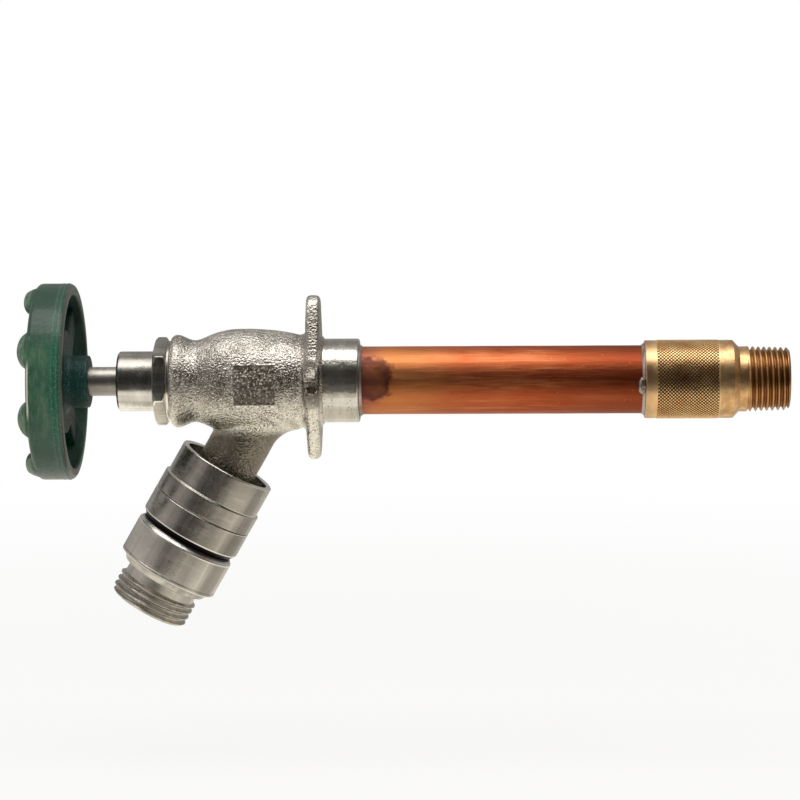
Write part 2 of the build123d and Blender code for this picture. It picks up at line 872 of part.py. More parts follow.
def make_breaker_body():
    """Lower ring of the breaker with its cavity, vent holes and long tail tube."""
    spigot_start = coupling_end - breaker_spigot_length + seat_clearance
    groove_start = tail_end - retaining_ring_setback
    groove_end = groove_start + retaining_ring_height
    groove_radius = tail_radius - retaining_ring_groove_depth
    body = turned(
        [
            (spigot_start, 0),
            (spigot_start, breaker_spigot_radius),
            (coupling_end, breaker_spigot_radius),
            (coupling_end, breaker_radius),
            (breaker_chamfer_start, breaker_radius),
            (breaker_end, breaker_end_radius),
            (breaker_end, tail_radius),
            (groove_start, tail_radius),
            (groove_start, groove_radius),
            (groove_end, groove_radius),
            (groove_end, tail_radius),
            (tail_end, tail_radius),
            (tail_end, 0),
        ]
    )
    body -= bar(spigot_start - cut_overrun, breaker_ledge, breaker_cavity_radius)
    body -= bar(breaker_ledge - cut_overrun, tail_ledge, tail_upper_bore_radius)
    body -= bar(breaker_ledge - cut_overrun, poppet_back + poppet_lift + poppet_gap, diaphragm_bore_radius)
    body -= bar(tail_ledge - cut_overrun, tail_end + cut_overrun, tail_lower_bore_radius)
    vent = Pos(vent_ring_radius, 0, 0) * bar(
        breaker_ledge - cut_overrun, breaker_end + cut_overrun, vent_radius
    )
    for turn in spaced(vent_count, 180 / vent_count):
        body -= turn * vent
    return along_spout * body


def make_check_poppet():
    seal_end = poppet_top + poppet_seal_height
    poppet = bar(seal_end, poppet_back, poppet_radius)
    poppet += bar(poppet_back - seat_clearance, poppet_back + poppet_stem_length, poppet_stem_radius)
    return along_spout * poppet


def make_poppet_seal():
    return along_spout * bar(poppet_top, poppet_top + poppet_seal_height, poppet_seal_radius)


def make_spring_guide():
    """Three-armed spider in the tail that guides the poppet's stem."""
    start = tail_ledge - guide_height
    outer = tail_upper_bore_radius - seat_clearance
    inner = outer - guide_rim_width
    guide = ring(start, tail_ledge, outer, inner) + bar(start, tail_ledge, guide_hub_radius)
    arm = Pos((inner + guide_rim_width / 2) / 2, 0, start + guide_height / 2) * Box(
        inner + guide_rim_width / 2, guide_arm_width, guide_height
    )
    for turn in spaced(guide_arm_count):
        guide += turn * arm
    guide -= bar(start - cut_overrun, tail_ledge + cut_overrun, poppet_stem_radius + shaft_clearance)
    return along_spout * guide


def make_poppet_spring():
    return along_spout * coil(
        poppet_back,
        tail_ledge - guide_height,
        poppet_spring_radius,
        poppet_spring_wire_radius,
        poppet_spring_turns,
    )


def make_drain_collar():
    """Plain ring that slides on the tail and opens the vent gap when it is pulled down."""
    shoulder = drain_start + drain_shoulder_depth
    skirt_start = drain_end - drain_skirt_length
    collar = turned(
        [
            (drain_start, 0),
            (drain_start, drain_top_radius),
            (drain_start + drain_chamfer_length, drain_radius),
            (drain_end - coupling_edge, drain_radius),
            (drain_end, drain_radius - coupling_edge),
            (drain_end, 0),
        ]
    )
    collar -= bar(drain_start - cut_overrun, shoulder, tail_radius + shaft_clearance)
    collar -= bar(shoulder - seat_clearance, drain_end, drain_skirt_bore_radius)
    collar -= bar(skirt_start, drain_end + cut_overrun, drain_thread_radius + seat_clearance)
    collar -= ring(
        drain_start - cut_overrun,
        drain_start + vent_seal_depth,
        vent_seal_outer_radius,
        vent_seal_inner_radius,
    )
    return along_spout * collar


def make_vent_seal_ring():
    """Black rubber ring let into the top face of the sliding collar."""
    return along_spout * ring(
        drain_start - vent_seal_proud,
        drain_start + vent_seal_depth,
        vent_seal_outer_radius,
        vent_seal_inner_radius,
    )


def make_drain_spring():
    return along_spout * coil(
        drain_start + drain_shoulder_depth,
        tail_end - retaining_ring_setback,
        drain_spring_radius,
        drain_spring_wire_radius,
        drain_spring_turns,
    )


def make_retaining_ring():
    start = tail_end - retaining_ring_setback
    groove_radius = tail_radius - retaining_ring_groove_depth
    return along_spout * ring(
        start, start + retaining_ring_height, retaining_ring_radius, groove_radius
    )


def make_hose_nipple():
    """Outlet piece: skirt screwed into the collar, flange, neck and hose thread."""
    skirt_start = drain_end - drain_skirt_length + seat_clearance
    chamber_end = drain_end + nipple_chamber_depth
    thread_rise = hose_crest_radius - hose_root_radius
    nipple = turned(
        [
            (skirt_start, 0),
            (skirt_start, drain_thread_radius),
            (drain_end, drain_thread_radius),
            (drain_end, nipple_flange_radius),
            (nipple_neck_start, nipple_flange_end_radius),
            (nipple_neck_start, hose_root_radius),
            (nipple_thread_start, hose_root_radius),
            (nipple_thread_start + thread_rise / 2, hose_crest_radius),
            (nipple_end - hose_lead_in, hose_crest_radius),
            (nipple_end, hose_crest_radius - hose_lead_in),
            (nipple_end, 0),
        ]
    )
    turns = int(nipple_thread_length / hose_pitch)
    nipple = cut_thread(
        nipple, nipple_thread_start, turns, hose_pitch, hose_crest_radius, hose_root_radius
    )
    nipple -= bar(skirt_start - cut_overrun, chamber_end, drain_skirt_bore_radius)
    nipple -= bar(chamber_end - cut_overrun, nipple_end + cut_overrun, nipple_bore_radius)
    return along_spout * nipple


nodes = {
    "valve_body": make_valve_body,
    "copper_tube": make_copper_tube,
    "collar_solder": make_collar_solder,
    "fitting_solder": make_fitting_solder,
    "inlet_fitting": make_inlet_fitting,
    "valve_seat": make_valve_seat,
    "bonnet": make_bonnet,
    "bonnet_gasket": make_bonnet_gasket,
    "packing_washer": make_packing_washer,
    "packing_rings": make_packing_rings,
    "packing_gland": make_packing_gland,
    "stem_spindle": make_stem_spindle,
    "operating_rod": make_operating_rod,
    "washer_holder": make_washer_holder,
    "seat_washer": make_seat_washer,
    "seat_washer_screw": make_seat_washer_screw,
    "handwheel": make_handwheel,
    "handle_screw": make_handle_screw,
    "breaker_coupling": make_breaker_coupling,
    "breakaway_screw": make_breakaway_screw,
    "breaker_washer": make_breaker_washer,
    "check_seat": make_check_seat,
    "vent_diaphragm": make_vent_diaphragm,
    "breaker_body": make_breaker_body,
    "check_poppet": make_check_poppet,
    "poppet_seal": make_poppet_seal,
    "spring_guide": make_spring_guide,
    "poppet_spring": make_poppet_spring,
    "drain_collar": make_drain_collar,
    "vent_seal_ring": make_vent_seal_ring,
    "drain_spring": make_drain_spring,
    "retaining_ring": make_retaining_ring,
    "hose_nipple": make_hose_nipple,
}

os.makedirs("parts", exist_ok=True)
for node, make in nodes.items():
    export_step(make(), f"parts/{node}.step")
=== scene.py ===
import math

import bmesh
import bpy
import numpy as np
from mathutils import Matrix, Vector, noise


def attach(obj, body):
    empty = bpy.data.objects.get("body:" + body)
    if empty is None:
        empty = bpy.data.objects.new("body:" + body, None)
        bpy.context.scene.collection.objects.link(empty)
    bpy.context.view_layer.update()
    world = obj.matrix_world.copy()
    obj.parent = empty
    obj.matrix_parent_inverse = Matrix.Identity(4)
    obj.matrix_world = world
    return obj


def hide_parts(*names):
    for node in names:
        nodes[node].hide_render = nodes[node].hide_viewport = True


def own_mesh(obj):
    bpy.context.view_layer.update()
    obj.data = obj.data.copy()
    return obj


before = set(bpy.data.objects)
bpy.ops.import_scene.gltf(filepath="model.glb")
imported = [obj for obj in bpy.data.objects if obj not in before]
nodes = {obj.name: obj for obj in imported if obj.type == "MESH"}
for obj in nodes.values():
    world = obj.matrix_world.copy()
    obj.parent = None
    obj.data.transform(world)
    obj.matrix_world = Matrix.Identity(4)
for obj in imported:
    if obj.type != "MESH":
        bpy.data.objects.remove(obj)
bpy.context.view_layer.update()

# The spout leans back from the vertical, and its axis meets the tube's axis here.
SPOUT_LEAN = math.radians(30)
SPOUT_FOOT = np.array([-0.0149, 0.0, 0.0])
SPOUT_AXIS = np.array([-math.sin(SPOUT_LEAN), 0.0, -math.cos(SPOUT_LEAN)])
ACROSS = np.array([0.0, 1.0, 0.0])
MM = 0.001
WELD = 1e-6

# Stations along the tube in mm, from the wall face of the flange.
COLLAR_END = 12.7
FITTING_START = 105.5
KNURL_START, KNURL_END = 109.5, 129.1
FITTING_SHOULDER = 134.1
PIPE_THREAD_START, INLET_END = 138.5, 152.4
PIPE_PITCH = 1.8143
FITTING_RADIUS, KNURL_ROOT = 12.7, 12.44

# Stations down the spout in mm.
COUPLING_TOP, COUPLING_STEP = 32.0, 42.2
BREAKER_SEAM, BREAKER_CHAMFER, BREAKER_END = 49.0, 57.1, 59.1
DRAIN_TOP, DRAIN_CHAMFER, DRAIN_END = 59.6, 60.8, 72.7
HOSE_THREAD_START, OUTLET_END = 78.1, 86.3
HOSE_PITCH = 2.209

# The wheel's faces and its rim in mm, and how far its domes are turned.
WHEEL_BACK, WHEEL_FRONT = -80.8, -92.4
RIM_LIP, RIM_INNER, RIM_OUTER = 25.5, 28.4, 32.3
WHEEL_TURN = math.radians(3.0)
MOULD_LINES = (WHEEL_BACK - 1.6, WHEEL_BACK - 3.2)


# Shader maths


class Socket:
    """A value that flows through a node tree, with sums written as plain arithmetic."""

    def __init__(self, tree, output):
        self.tree = tree
        self.output = output

    def __add__(self, other):
        return self.tree.calc("ADD", self, other)

    def __radd__(self, other):
        return self.tree.calc("ADD", other, self)

    def __sub__(self, other):
        return self.tree.calc("SUBTRACT", self, other)

    def __rsub__(self, other):
        return self.tree.calc("SUBTRACT", other, self)

    def __mul__(self, other):
        return self.tree.calc("MULTIPLY", self, other)

    def __rmul__(self, other):
        return self.tree.calc("MULTIPLY", other, self)

    def __truediv__(self, other):
        return self.tree.calc("DIVIDE", self, other)

    def __rtruediv__(self, other):
        return self.tree.calc("DIVIDE", other, self)

    def __abs__(self):
        return self.tree.calc("ABSOLUTE", self)


class Tree:
    """A node tree that is filled from plain values and sockets."""

    def __init__(self, tree):
        self.tree = tree

    def node(self, kind, settings, inputs, output=0):
        made = self.tree.nodes.new(kind)
        for label, value in settings.items():
            setattr(made, label, value)
        for label, value in inputs.items():
            if isinstance(value, Socket):
                self.tree.links.new(value.output, made.inputs[label])
            else:
                made.inputs[label].default_value = value
        return Socket(self, made.outputs[output])

    def calc(self, operation, *values):
        return self.node("ShaderNodeMath", {"operation": operation}, dict(enumerate(values)))

    def spread(self, value, low, high, new_low=0.0, new_high=1.0):
        """Smooth change from new_low where value is at low to new_high where it is at high."""
        return self.node(
            "ShaderNodeMapRange",
            {"clamp": True, "interpolation_type": "SMOOTHSTEP"},
            {0: value, 1: low, 2: high, 3: new_low, 4: new_high},
        )

    def mix(self, share, first, second):
        first, second = (tint if isinstance(tint, Socket) else (*tint, 1) for tint in (first, second))
        return self.node("ShaderNodeMix", {"data_type": "RGBA"}, {0: share, 6: first, 7: second}, 2)

    def axes(self, place):
        made = self.node("ShaderNodeSeparateXYZ", {}, {0: place}).output.node
        return [Socket(self, out) for out in made.outputs]


class Finish(Tree):
    """One material, built up around its principled shader."""

    def __init__(self, name, **fixed):
        self.material = bpy.data.materials.new(name)
        self.material.use_nodes = True
        super().__init__(self.material.node_tree)
        self.shader = self.tree.nodes["Principled BSDF"]
        for label, value in fixed.items():
            self.shader.inputs[label.replace("_", " ")].default_value = value
        self.place = self.node("ShaderNodeTexCoord", {}, {}, "Object")

    def feed(self, label, value):
        self.tree.links.new(value.output, self.shader.inputs[label])

    def turned_place(self, origin, turn):
        """Place whose z runs along a turned piece's axis."""
        return self.node(
            "ShaderNodeMapping",
            {"vector_type": "TEXTURE"},
            {"Vector": self.place, "Location": origin, "Rotation": turn},
        )

    def stretched(self, place, scale):
        return self.node("ShaderNodeVectorMath", {"operation": "MULTIPLY"}, {0: place, 1: scale})

    def noise(self, place, scale, detail=3.0, rough=0.55):
        inputs = {"Vector": place, "Scale": scale, "Detail": detail, "Roughness": rough}
        return self.node("ShaderNodeTexNoise", {}, inputs)

    def streaks(self, place, scale, detail=3.0, rough=0.6):
        """Noise stretched along the axes where the scale is small."""
        return self.noise(self.stretched(place, scale), 1.0, detail, rough)

    def speckle(self, place, scale, feature="F1"):
        return self.node("ShaderNodeTexVoronoi", {"feature": feature}, {"Vector": place, "Scale": scale})

    def distance(self, place, centre):
        inputs = {0: place, 1: centre}
        return self.node("ShaderNodeVectorMath", {"operation": "DISTANCE"}, inputs, "Value")

    def bump(self, height, depth, strength=1.0, after=None):
        inputs = {"Height": height, "Distance": depth, "Strength": strength}
        if after is not None:
            inputs["Normal"] = after
        return self.node("ShaderNodeBump", {}, inputs)


# Middle of the square panel on the near side of the barrel, in metres along the tube.
PANEL_CENTRE = -0.0207


def cast_nickel():
    """Nickel over a sand casting: pebbled bright skin, stains, a darker spout, a rough dark panel with
    painted highlights on its edges, patchy painted shade by the near ear and painted light from below.
    """
    f = Finish("cast_nickel", Metallic=1.0)
    x, y, z = f.axes(f.place)
    sand = f.speckle(f.place, 1700, "SMOOTH_F1")
    coarse = f.speckle(f.place, 1150, "SMOOTH_F1")
    grain = f.noise(f.place, 1750, 4, 0.68)
    patches = f.noise(f.place, 75, 4, 0.6)
    blots = f.noise(f.place, 420, 4, 0.62)
    # The square panel faces the near side.
    wide, tall = abs(x - PANEL_CENTRE), abs(z)
    near_side = f.spread(y, -0.012, -0.0135)
    panel = f.spread(wide, 0.0070, 0.0063) * f.spread(tall, 0.0070, 0.0063) * near_side
    colour = f.mix(f.spread(patches, 0.38, 0.62), (0.37, 0.335, 0.29), (0.70, 0.655, 0.59))
    # The flange is smoother than the barrel, and the barrel's upper half has fewer dark hollows and blots
    # than its lower one.
    plate = f.spread(x, -0.0056, -0.0046)
    colour = f.mix(f.spread(grain, 0.51, 0.64) * (0.68 - plate * 0.40), colour, (0.96, 0.92, 0.85))
    upper = f.spread(z, 0.002, 0.010)
    hollows = f.spread(grain, 0.49, 0.34) * (0.60 - upper * 0.42) * (1.0 - plate * 0.6)
    colour = f.mix(hollows, colour, (0.12, 0.10, 0.08))
    colour = f.mix(f.spread(blots, 0.55, 0.66) * (0.55 - upper * 0.35), colour, (0.17, 0.15, 0.125))
    # Darker spout, patches of dark casting and painted shade near the flange's ear, and painted light
    # thrown up from below.
    spout = f.spread(z, -0.0140, -0.0180) * f.spread(x, -0.006, -0.010)
    colour = f.mix(spout * 0.78, colour, (0.19, 0.165, 0.12))
    # Patches of dark casting and painted shade where the ear's pocket would be.
    ear = f.spread(y, -0.0140, -0.0185) * f.spread(x, -0.0065, -0.0045)
    ear = ear * f.spread(blots, 0.36, 0.50)
    colour = f.mix(ear * 0.65, colour, (0.13, 0.115, 0.095))
    # Painted light: the lower barrel is made paler, as if lit from below.
    painted_uplight = f.spread(z, -0.003, -0.011) * (1.0 - spout)
    colour = f.mix(painted_uplight * f.spread(grain, 0.36, 0.52) * 0.85, colour, (1.0, 0.96, 0.84))
    colour = f.mix(panel * 0.80, colour, (0.13, 0.11, 0.09))
    colour = f.mix(panel * f.spread(coarse, 0.42, 0.22) * 0.7, colour, (0.66, 0.61, 0.52))
    # Painted highlights along the edges above and below the panel.
    rim = f.spread(wide, 0.0072, 0.0068) * f.spread(tall, 0.00645, 0.0067)
    rim = rim * f.spread(tall, 0.0076, 0.0072) * near_side
    colour = f.mix(rim * 0.9, colour, (0.95, 0.90, 0.80))
    f.feed("Base Color", colour)
    f.feed("Roughness", f.spread(patches, 0.3, 0.7, 0.23, 0.31) + panel * 0.05)
    skin = f.bump(f.spread(coarse, 0.0, 0.7), 0.00020, 0.5)
    skin = f.bump(panel * f.spread(coarse, 0.15, 0.55) + ear, 0.0006, 0.7, skin)
    skin = f.bump(f.spread(sand, 0.05, 0.6) * (1.0 - plate * 0.5), 0.00018, 0.9, skin)
    f.feed("Normal", f.bump(grain * (1.0 - plate * 0.45), 0.00018, 0.9, skin))
    return f.material


def shade(tint, share):
    """A tint made darker or lighter, at most white."""
    return tuple(min(1.0, share * part) for part in tint)


def turned_nickel(name, origin, turn, tint, rough, wear, black=None, highlight_stations=(), under=None):
    """Bright nickel over turned brass: fine tool rings about the axis, rubs, pits, and lengthwise streaks
    that are partly brush marks, partly painted reflections.
    black gives two stations in mm between which the surface is blackened, highlight_stations the stations
    of painted highlights along edges, and under the tint of the lower side, painted light where it is paler
    than tint."""
    f = Finish(name, Metallic=1.0)
    place = f.turned_place(origin, turn)
    rings = f.streaks(place, (60, 60, 7000))
    rubs = f.noise(place, 190, 4, 0.6)
    clouds = f.noise(place, 48, 3, 0.55)
    smears = f.streaks(place, (70, 70, 420), 4)
    dots = f.speckle(place, 760)
    streaks_and_reflections = f.streaks(place, (210, 210, 9), 2, 0.5)
    colour = f.mix(f.spread(clouds, 0.35, 0.68), shade(tint, 0.66), tint)
    colour = f.mix(f.spread(smears, 0.52, 0.72) * 0.4, colour, shade(tint, 1.35))
    # The lower side takes the tint under; where it is paler than tint, this is painted light from below.
    if under is not None:
        height = f.axes(f.place)[2]
        lower = f.mix(f.spread(smears, 0.30, 0.62), shade(under, 0.80), under)
        colour = f.mix(f.spread(height, 0.001, -0.005), colour, lower)
    # Lengthwise streaks: partly brush marks along the axis, partly painted reflections.
    colour = f.mix(f.spread(streaks_and_reflections, 0.52, 0.34) * 0.5, colour, shade(tint, 0.32))
    colour = f.mix(f.spread(streaks_and_reflections, 0.54, 0.70) * 0.35, colour, shade(tint, 1.6))
    marks = f.spread(dots, 0.15 + 0.2 * wear, 0.05 + 0.1 * wear) * f.spread(rubs, 0.50, 0.57)
    colour = f.mix(marks * (0.25 + wear), colour, (0.10, 0.09, 0.08))
    rough_level = f.spread(rubs, 0.35, 0.7, rough, rough + 0.12)
    station = f.axes(place)[2]
    # Painted highlights along the edges at the given stations.
    for edge in highlight_stations:
        edge_highlight = f.spread(abs(station - edge * MM), 0.00035, 0.00015)
        colour = f.mix(edge_highlight * 0.85, colour, (0.95, 0.92, 0.86))
    if black is not None:
        low, high = (limit * MM for limit in black)
        band = f.spread(station, low - 0.00015, low + 0.00015) * f.spread(station, high, high - 0.0001)
        colour = f.mix(band, colour, (0.012, 0.011, 0.010))
        rough_level = rough_level + band * 0.25
    f.feed("Base Color", colour)
    f.feed("Roughness", rough_level)
    skin = f.bump(rings, 0.00007, 0.5)
    f.feed("Normal", f.bump(rubs, 0.0003, 0.20 + wear, skin))
    return f.material


def drawn_copper():
    """Drawn copper tube: lengthwise streaks, a violet heat stain by the collar, brown by the fitting."""
    f = Finish("drawn_copper", Metallic=1.0)
    x = f.axes(f.place)[0]
    streaks = f.streaks(f.place, (90, 2200, 2200), 4, 0.62)
    long_streaks = f.streaks(f.place, (14, 420, 420), 3, 0.5)
    clouds = f.streaks(f.place, (45, 90, 90), 4)
    freckles = f.speckle(f.place, 420)
    wander = f.streaks(f.place, (40, 160, 160)) * 0.018
    ragged = f.noise(f.place, 210, 4, 0.65)
    colour = f.mix(f.spread(clouds, 0.34, 0.66), (0.51, 0.112, 0.036), (0.66, 0.200, 0.078))
    colour = f.mix(f.spread(streaks, 0.46, 0.70) * 0.5, colour, (0.90, 0.37, 0.16))
    colour = f.mix(f.spread(streaks, 0.50, 0.34) * 0.35, colour, (0.33, 0.055, 0.018))
    colour = f.mix(f.spread(long_streaks, 0.56, 0.40) * 0.5, colour, (0.38, 0.062, 0.020))
    # Heat colours that fade away from the collar.
    bronze = f.spread(x + wander, 0.062, 0.033) * f.spread(x + wander, 0.020, 0.028)
    colour = f.mix(bronze * 0.45, colour, (0.72, 0.33, 0.11))
    violet = f.spread(x + wander, 0.0300, 0.0215)
    colour = f.mix(violet * 0.6, colour, (0.33, 0.135, 0.11))
    # Dark blotch beside the collar, darkest at its outline.
    reach = f.distance(f.place, (0.0165, -0.0108, 0.0016)) + ragged * 0.010
    blotch = f.spread(reach, 0.0138, 0.0112)
    outline = blotch * f.spread(reach, 0.0060, 0.0112)
    colour = f.mix(blotch * 0.40 + outline * 0.42, colour, (0.095, 0.030, 0.032))
    brown = f.spread(x - wander, 0.050, 0.096)
    colour = f.mix(brown * 0.85, colour, (0.27, 0.050, 0.019))
    specks = f.spread(freckles, 0.09, 0.04)
    colour = f.mix(specks * 0.5, colour, (0.86, 0.48, 0.26))
    f.feed("Base Color", colour)
    f.feed("Roughness", f.spread(streaks, 0.3, 0.7, 0.41, 0.55) + violet * 0.05)
    skin = f.bump(streaks, 0.00012, 0.55)
    f.feed("Normal", f.bump(clouds, 0.0012, 0.2, skin))
    return f.material


def machined_brass():
    """Turned brass with rosy and golden tones, lathe rings, stains, and painted shade in the knurl's
    grooves and the thread's roots.
    """
    f = Finish("machined_brass", Metallic=1.0)
    x, y, z = f.axes(f.place)
    rings = f.streaks(f.place, (7000, 60, 60))
    clouds = f.noise(f.place, 95, 4, 0.6)
    stains = f.noise(f.place, 330, 4, 0.62)
    out = f.calc("SQRT", y * y + z * z)
    colour = f.mix(f.spread(clouds, 0.35, 0.65), (0.84, 0.50, 0.225), (0.97, 0.69, 0.35))
    colour = f.mix(f.spread(stains, 0.55, 0.72) * 0.35, colour, (0.44, 0.21, 0.10))
    # Browner towards the soldered end, and painted shade in the grooves between the diamonds.
    start, end = KNURL_START * MM, KNURL_END * MM
    colour = f.mix(f.spread(x, start - 0.0003, start - 0.0033) * 0.55, colour, (0.55, 0.34, 0.22))
    band = f.spread(x, start - 0.0002, start + 0.0002) * f.spread(x, end + 0.0002, end - 0.0002)
    groove_shade = band * f.spread(out, 0.01278, 0.01255)
    colour = f.mix(groove_shade * 0.96, colour, (0.07, 0.022, 0.008))
    shoulder = f.spread(x, end, end + 0.0009) * f.spread(stains, 0.30, 0.60)
    colour = f.mix(shoulder * 0.6, colour, (0.50, 0.27, 0.12))
    thread = f.spread(x, PIPE_THREAD_START * MM - 0.0001, PIPE_THREAD_START * MM + 0.0011)
    colour = f.mix(thread * 0.5, colour, (0.46, 0.235, 0.095))
    # Painted shade in the thread's roots.
    root_shade = thread * f.spread(out, 0.0100, 0.0094)
    colour = f.mix(root_shade * 0.6, colour, (0.16, 0.075, 0.03))
    f.feed("Base Color", colour)
    f.feed("Roughness", f.spread(clouds, 0.3, 0.7, 0.30, 0.42))
    f.feed("Normal", f.bump(stains, 0.00025, 0.25, f.bump(rings, 0.00006, 0.55)))
    return f.material


def wheel_paint():
    """Dark green enamel on a die casting: orange peel, brushed wear, painted shade at the rim's ends and
    inside, painted highlights along the front edge, mould lines and domes, and painted glints near the back
    and on the hub.
    """
    f = Finish("wheel_paint", Metallic=0.0, IOR=1.42, Coat_Roughness=0.12, Coat_IOR=1.45)
    x, y, z = f.axes(f.place)
    out = f.calc("SQRT", y * y + z * z)
    peel = f.noise(f.place, 1100, 3, 0.6)
    waves = f.noise(f.place, 260, 2, 0.5)
    specks = f.speckle(f.place, 2300)
    clouds = f.noise(f.place, 60, 3, 0.5)
    brushed = f.streaks(f.place, (1500, 260, 260), 4, 0.65)
    colour = f.mix(f.spread(clouds, 0.3, 0.7), (0.007, 0.052, 0.026), (0.014, 0.086, 0.040))
    # The rim's outside is worn pale in its middle; towards both ends it is darkened with painted shade.
    face = f.spread(out, 0.0310, 0.0318)
    ends = abs(z)
    middle = f.spread(ends, 0.026, 0.008) * f.spread(x, -0.0835, -0.0865)
    worn = f.spread(brushed, 0.40, 0.66) * 0.6 + f.spread(clouds, 0.35, 0.65) * 0.4
    worn = worn * face * middle
    colour = f.mix(worn * 0.62, colour, (0.12, 0.17, 0.11))
    colour = f.mix(f.spread(ends, 0.009, 0.024) * face * 0.55, colour, (0.010, 0.030, 0.019))
    # Painted highlight along the front edge, grey lip at the back, and painted highlights on two fine mould
    # lines.
    edge = abs(x - (WHEEL_FRONT + 0.7) * MM)
    front = f.spread(edge, 0.00045, 0.00015) * f.spread(out, 0.0300, 0.0312)
    front = front * f.spread(ends, 0.0105, 0.0060)
    colour = f.mix(front * 0.85, colour, (0.60, 0.58, 0.47))
    lip = f.spread(x, -0.0818, -0.0811) * f.spread(out, 0.0298, 0.0306)
    colour = f.mix(lip * 0.75, colour, (0.085, 0.075, 0.060))
    # Each mould line's ridge gets a painted highlight.
    for line in MOULD_LINES:
        seam = f.spread(abs(x - line * MM), 0.00030, 0.00010) * face
        colour = f.mix(seam * 0.26, colour, (0.06, 0.19, 0.13))
    # Worn domes, partly a painted highlight, painted shade inside the rim and a darker hub.
    dome = f.spread(x, -0.0922, -0.0936) * f.spread(brushed, 0.32, 0.58)
    colour = f.mix(dome * 0.5, colour, (0.21, 0.28, 0.19))
    # Painted shade inside the rim.
    inner = f.spread(out, 0.0290, 0.0285)
    colour = f.mix(inner * 0.85, colour, (0.003, 0.018, 0.013))
    hub = f.spread(out, 0.0115, 0.0100) * f.spread(x, -0.0875, -0.0855)
    colour = f.mix(hub * 0.7, colour, (0.004, 0.036, 0.030))
    # Painted glints of teal reflection near the back of the rim and on the hub.
    near_back = f.spread(x, -0.0865, -0.0835) * face
    painted_glints = f.spread(specks, 0.42, 0.16) * f.spread(peel, 0.44, 0.56)
    colour = f.mix(painted_glints * (0.05 + near_back * 0.5 + hub * 0.5), colour, (0.15, 0.37, 0.36))
    f.feed("Base Color", colour)
    f.feed("Roughness", f.spread(peel, 0.3, 0.7, 0.32, 0.50) + inner * 0.12)
    f.feed("Coat Weight", f.spread(clouds, 0.2, 0.8, 0.22, 0.36) * (1.0 - inner))
    skin = f.bump(waves, 0.0006, 0.25)
    f.feed("Normal", f.bump(peel, 0.00022, 0.5, skin))
    return f.material


def dull_solder():
    """Dull wiped solder: soft lumps, grey with brown flux stains."""
    f = Finish("dull_solder", Metallic=1.0)
    lumps = f.noise(f.place, 380, 4, 0.6)
    clouds = f.noise(f.place, 160, 3, 0.5)
    colour = f.mix(f.spread(clouds, 0.35, 0.65), (0.27, 0.23, 0.20), (0.50, 0.45, 0.41))
    f.feed("Base Color", colour)
    f.feed("Roughness", f.spread(lumps, 0.3, 0.7, 0.30, 0.46))
    f.feed("Normal", f.bump(lumps, 0.0004, 0.6))
    return f.material


def bare_steel(name, tint, rough):
    """Plain bright steel with fine scratches and a slight tarnish."""
    f = Finish(name, Metallic=1.0)
    scratches = f.streaks(f.place, (300, 2600, 900))
    clouds = f.noise(f.place, 220, 3, 0.5)
    f.feed("Base Color", f.mix(f.spread(clouds, 0.35, 0.7), shade(tint, 0.72), tint))
    f.feed("Roughness", f.spread(scratches, 0.3, 0.7, rough, rough + 0.14))
    f.feed("Normal", f.bump(scratches, 0.00008, 0.4))
    return f.material


def moulded(name, dark, light, rough, grain=900):
    """Moulded rubber, packing or plastic with a fine even grain."""
    f = Finish(name, Metallic=0.0)
    fine = f.noise(f.place, grain, 3, 0.6)
    clouds = f.noise(f.place, grain / 8, 3, 0.5)
    f.feed("Base Color", f.mix(f.spread(clouds, 0.3, 0.7), dark, light))
    f.feed("Roughness", f.spread(fine, 0.3, 0.7, rough, rough + 0.15))
    f.feed("Normal", f.bump(fine, 0.00012, 0.5))
    return f.material


def floor_card():
    """Pale card, white to the camera, with the object's soft shadow on it; its front part is dark paper."""
    f = Finish("floor_card", Roughness=0.9)
    x, y = f.axes(f.place)[:2]
    fine = f.noise(f.place, 900, 3, 0.5)
    pale = f.spread(y, -0.235, -0.185)
    card = f.mix(f.spread(fine, 0.3, 0.7), (0.78, 0.755, 0.70), (0.82, 0.795, 0.74))
    f.feed("Base Color", f.mix(pale, (0.09, 0.086, 0.08), card))
    white = f.node("ShaderNodeEmission", {}, {"Color": (1, 1, 1, 1)})
    cream = f.node("ShaderNodeEmission", {}, {"Color": (0.98, 0.93, 0.83, 1)})
    rays = ("Is Camera Ray", "Is Glossy Ray", "Is Transmission Ray")
    seen, mirrored, through = (f.node("ShaderNodeLightPath", {}, {}, ray) for ray in rays)
    reach = f.distance(f.place, (0, 0, 0))
    share = (seen + through) * f.spread(reach, 0.15, 0.75, 0.86, 1.0)
    under = f.spread(x, 0.035, 0.005)
    dim = f.spread(y, 0.0, -0.05, 0.42, 1.0)
    near = f.spread(reach, 0.75, 0.30) * f.calc("MAXIMUM", under, dim)
    card = Socket(f, f.shader.outputs[0])
    lit = f.node("ShaderNodeMixShader", {}, {0: mirrored * pale * near, 1: card, 2: cream})
    done = f.node("ShaderNodeMixShader", {}, {0: share, 1: lit, 2: white})
    f.tree.links.new(done.output, f.tree.nodes["Material Output"].inputs[0])
    return f.material


